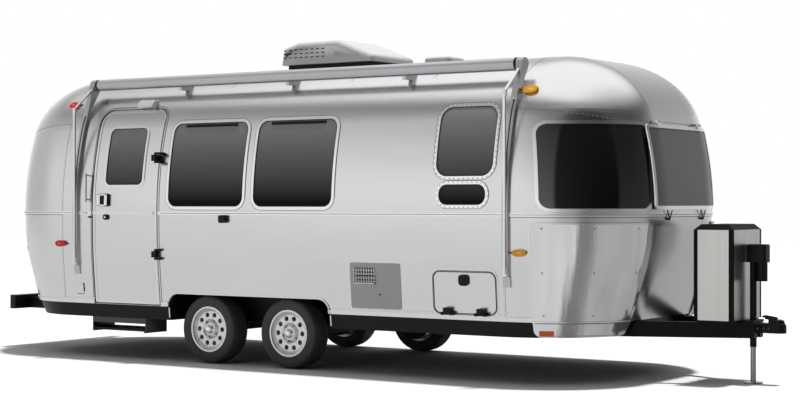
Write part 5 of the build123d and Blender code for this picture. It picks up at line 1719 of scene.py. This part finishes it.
@dataclass
class Studio:
    """Floor, world, sun and the camera at the photograph's viewpoint."""

    camera_place: Place = (8.899, -12.956, 1.459)
    azimuth_deg: float = 33.7
    focal_px: float = 1700.0
    horizon_px: float = 202.0
    sensor_mm: float = 36.0
    clip_end: float = 500.0
    floor_size: Place = (90.0, 90.0, 1.0)
    # Round this point the floor's colour darkens and lightens again, a painted shade seen in reflections,
    # but not to the camera or through glass
    floor_middle: Place = (2.08, -0.54, 0.0)
    floor_darker: Fade = ((0.707, 0.707, 0.0), (-0.16, -0.04), (0.68, 0.22))
    floor_lighter: Fade = ((0.707, 0.707, 0.0), (0.10, 0.30), (0.22, 0.42))
    world_level: float = 0.44
    sun_level: float = 2.6
    sun_angle_deg: float = 4.0
    sun_turn_deg: Place = (-9.0, 4.0, 0.0)
    # Direction along which the studio darkens, the reach of that, and its brightness there
    darker: Fade = ((0.25, 0.0, 1.0), (0.05, 0.58), (1.0, 0.2))
    # Direction along which the ceiling lightens again
    lighter: Fade = ((0.0, 0.2, 1.0), (0.64, 0.82), (0.2, 1.2))
    # Darker parts of the studio at the front, the rear and the near corner
    flags: tuple[Fade, ...] = (
        ((0.996, 0.087, 0.0), (0.30, 0.85), (1.0, 0.35)),
        ((-0.985, -0.17, 0.0), (0.75, 0.95), (1.0, 0.60)),
        ((0.759, -0.637, 0.139), (0.80, 0.84), (1.0, 0.15)),
    )

    def build(self) -> None:
        """Make the studio."""
        self._camera()
        self._floor()
        self._world()
        self._sun()

    def _camera(self) -> None:
        """Level camera whose shift puts the horizon on its line of the picture."""
        data = bpy.data.cameras.new("photo camera")
        data.sensor_width = self.sensor_mm
        data.lens = self.focal_px / IMAGE_WIDTH * self.sensor_mm
        data.shift_y = (self.horizon_px - IMAGE_HEIGHT / 2) / IMAGE_WIDTH
        data.clip_end = self.clip_end
        camera = bpy.data.objects.new("photo camera", data)
        camera.location = self.camera_place
        camera.rotation_euler = (math.radians(90), 0, math.radians(self.azimuth_deg))
        bpy.context.scene.collection.objects.link(camera)
        bpy.context.scene.camera = camera

    def _floor(self) -> None:
        """Pale floor that keeps the object's shadow."""
        bm = bmesh.new()
        bmesh.ops.create_grid(bm, x_segments=1, y_segments=1, size=0.5)
        bmesh.ops.scale(bm, vec=self.floor_size, verts=bm.verts)
        mesh = bpy.data.meshes.new("studio floor")
        bm.to_mesh(mesh)
        bm.free()
        floor = bpy.data.objects.new("studio floor", mesh)
        bpy.context.scene.collection.objects.link(floor)
        made = bpy.data.materials.new("studio floor")
        made.use_nodes = True
        wires = Wiring(made.node_tree)
        spot = wires.node("TexCoord").outputs["Object"]
        away = wires.node("VectorMath", {0: spot, 1: self.floor_middle}, operation="SUBTRACT")
        way = wires.node("VectorMath", {0: away.outputs["Vector"]}, operation="NORMALIZE")
        level = self._lighter(wires, way.outputs["Vector"], self.floor_darker, self.floor_lighter)
        pale = wires.node("MapRange", {"Value": self._direct(wires), "To Min": level, "To Max": 1.0})
        wires.feed(made.node_tree.nodes["Principled BSDF"], {
            "Base Color": pale.outputs["Result"], "Roughness": 1.0, "Specular IOR Level": 0.0,
        })
        mesh.materials.append(made)

    def _world(self) -> None:
        """White to the camera and through glass, and a studio with a darker ceiling to other rays."""
        world = bpy.data.worlds.new("studio")
        bpy.context.scene.world = world
        world.use_nodes = True
        wires = Wiring(world.node_tree)
        gloss = wires.node("LightPath").outputs["Is Glossy Ray"]
        level = wires.node("MapRange", {"Value": gloss, "To Min": self.world_level, "To Max": 1.0})
        place = wires.node("TexCoord").outputs["Generated"]
        shade = self._lighter(wires, place, self.darker, self.lighter)
        for flag in self.flags:
            shade = wires.math("MULTIPLY", shade, self._fade(wires, place, flag))
        studio = world.node_tree.nodes["Background"]
        strength = wires.math("MULTIPLY", shade, level.outputs["Result"])
        wires.feed(studio, {"Color": WHITE, "Strength": strength})
        white = wires.node("Background", {"Color": WHITE, "Strength": 1.0})
        mix = wires.node(
            "MixShader", {"Fac": self._direct(wires), 1: studio.outputs[0], 2: white.outputs[0]}
        )
        wires.feed(world.node_tree.nodes["World Output"], {"Surface": mix.outputs[0]})

    def _direct(self, wires: Wiring) -> bpy.types.NodeSocket:
        """The socket that gives 1 for rays from the camera and through glass."""
        path = wires.node("LightPath").outputs
        return wires.math("MAXIMUM", path["Is Camera Ray"], path["Is Transmission Ray"])

    def _lighter(
        self, wires: Wiring, place: bpy.types.NodeSocket, one: Fade, other: Fade
    ) -> bpy.types.NodeSocket:
        """The socket that gives the lighter of two fades by direction."""
        return wires.math("MAXIMUM", self._fade(wires, place, one), self._fade(wires, place, other))

    def _fade(self, wires: Wiring, place: bpy.types.NodeSocket, fade: Fade) -> bpy.types.NodeSocket:
        """A brightness that changes along one direction.

        Args:
            wires: Wiring of the world or a material.
            place: The socket that gives the direction.
            fade: The direction, its reach, and the brightness at both ends.

        Returns:
            The socket that gives the brightness.
        """
        way, reach, bright = fade
        along = wires.node("VectorMath", {0: place, 1: way}, operation="DOT_PRODUCT")
        change = wires.node("MapRange", {
            "Value": along.outputs["Value"],
            "From Min": reach[0],
            "From Max": reach[1],
            "To Min": bright[0],
            "To Max": bright[1],
        })
        return change.outputs["Result"]

    def _sun(self) -> None:
        """One broad sun almost overhead, which doesn't show in gloss."""
        data = bpy.data.lights.new("studio sun", "SUN")
        data.energy = self.sun_level
        data.angle = math.radians(self.sun_angle_deg)
        sun = bpy.data.objects.new("studio sun", data)
        sun.rotation_euler = [math.radians(a) for a in self.sun_turn_deg]
        sun.visible_glossy = False
        bpy.context.scene.collection.objects.link(sun)


def dress_frame(frame: dict) -> None:
    """Give every CAD node its finish and smooth shading.
    """
    slots = {row["node"]: row["material_slot"] for row in frame["record"]["subparts"]}
    for name, node in frame["nodes"].items():
        finish = NODE_FINISHES.get(name, SLOT_FINISHES[slots[name]])
        node.data.materials.clear()
        node.data.materials.append(finish.material())
        shade_smooth(node, SMOOTH_ANGLES.get(name, SMOOTH_ANGLE))
        if name in SOFT_EDGES:
            soft = node.modifiers.new("soft edges", "BEVEL")
            soft.width = SOFT_EDGES[name]
            soft.segments = SOFT_EDGE_STEPS
            soft.limit_method = "ANGLE"
            soft.angle_limit = math.radians(SOFT_EDGE_ANGLE)


def dress_caravan(nodes: dict[str, bpy.types.Object]) -> None:
    """Build the details of every sub-assembly.

    Args:
        nodes: The CAD nodes' objects by name.
    """
    shell = Skin(SHELL_NODES, nodes)
    Shell(shell).build()
    glass = [Skin([name], nodes) for name in ("side_window_frames", "side_glass", "door_glass")]
    Windows(shell, *glass).build()
    Door(Skin(["door_leaf"], nodes), shell, Skin(["door_fittings"], nodes)).build()
    Flaps(shell, Skin(["heater_panel"], nodes)).build()
    Wheels(nodes).build()
    Arches(Skin([*SHELL_NODES, "sill_rail", "belly_pan"], nodes)).build()
    Awning().build()
    Roof(Skin(["ac_shroud"], nodes)).build()
    Tongue().build()
    lamps = [Skin([name], nodes) for name in ("stone_guards", "belly_pan", "lamps_red", "lamps_amber")]
    Lamps(shell, *lamps).build()
    FrontGuards(Skin(["stone_guards"], nodes), shell).build()
    Belt(Skin(["belt_rail"], nodes), shell).build()


def main() -> None:
    """Load the frame, dress it and build the studio."""
    logging.basicConfig(level=logging.INFO, format="%(message)s")
    bpy.context.scene.view_settings.view_transform = "Standard"
    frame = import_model()
    dress_frame(frame)
    dress_caravan(frame["nodes"])
    Studio().build()


if __name__ == "__main__":
    main()
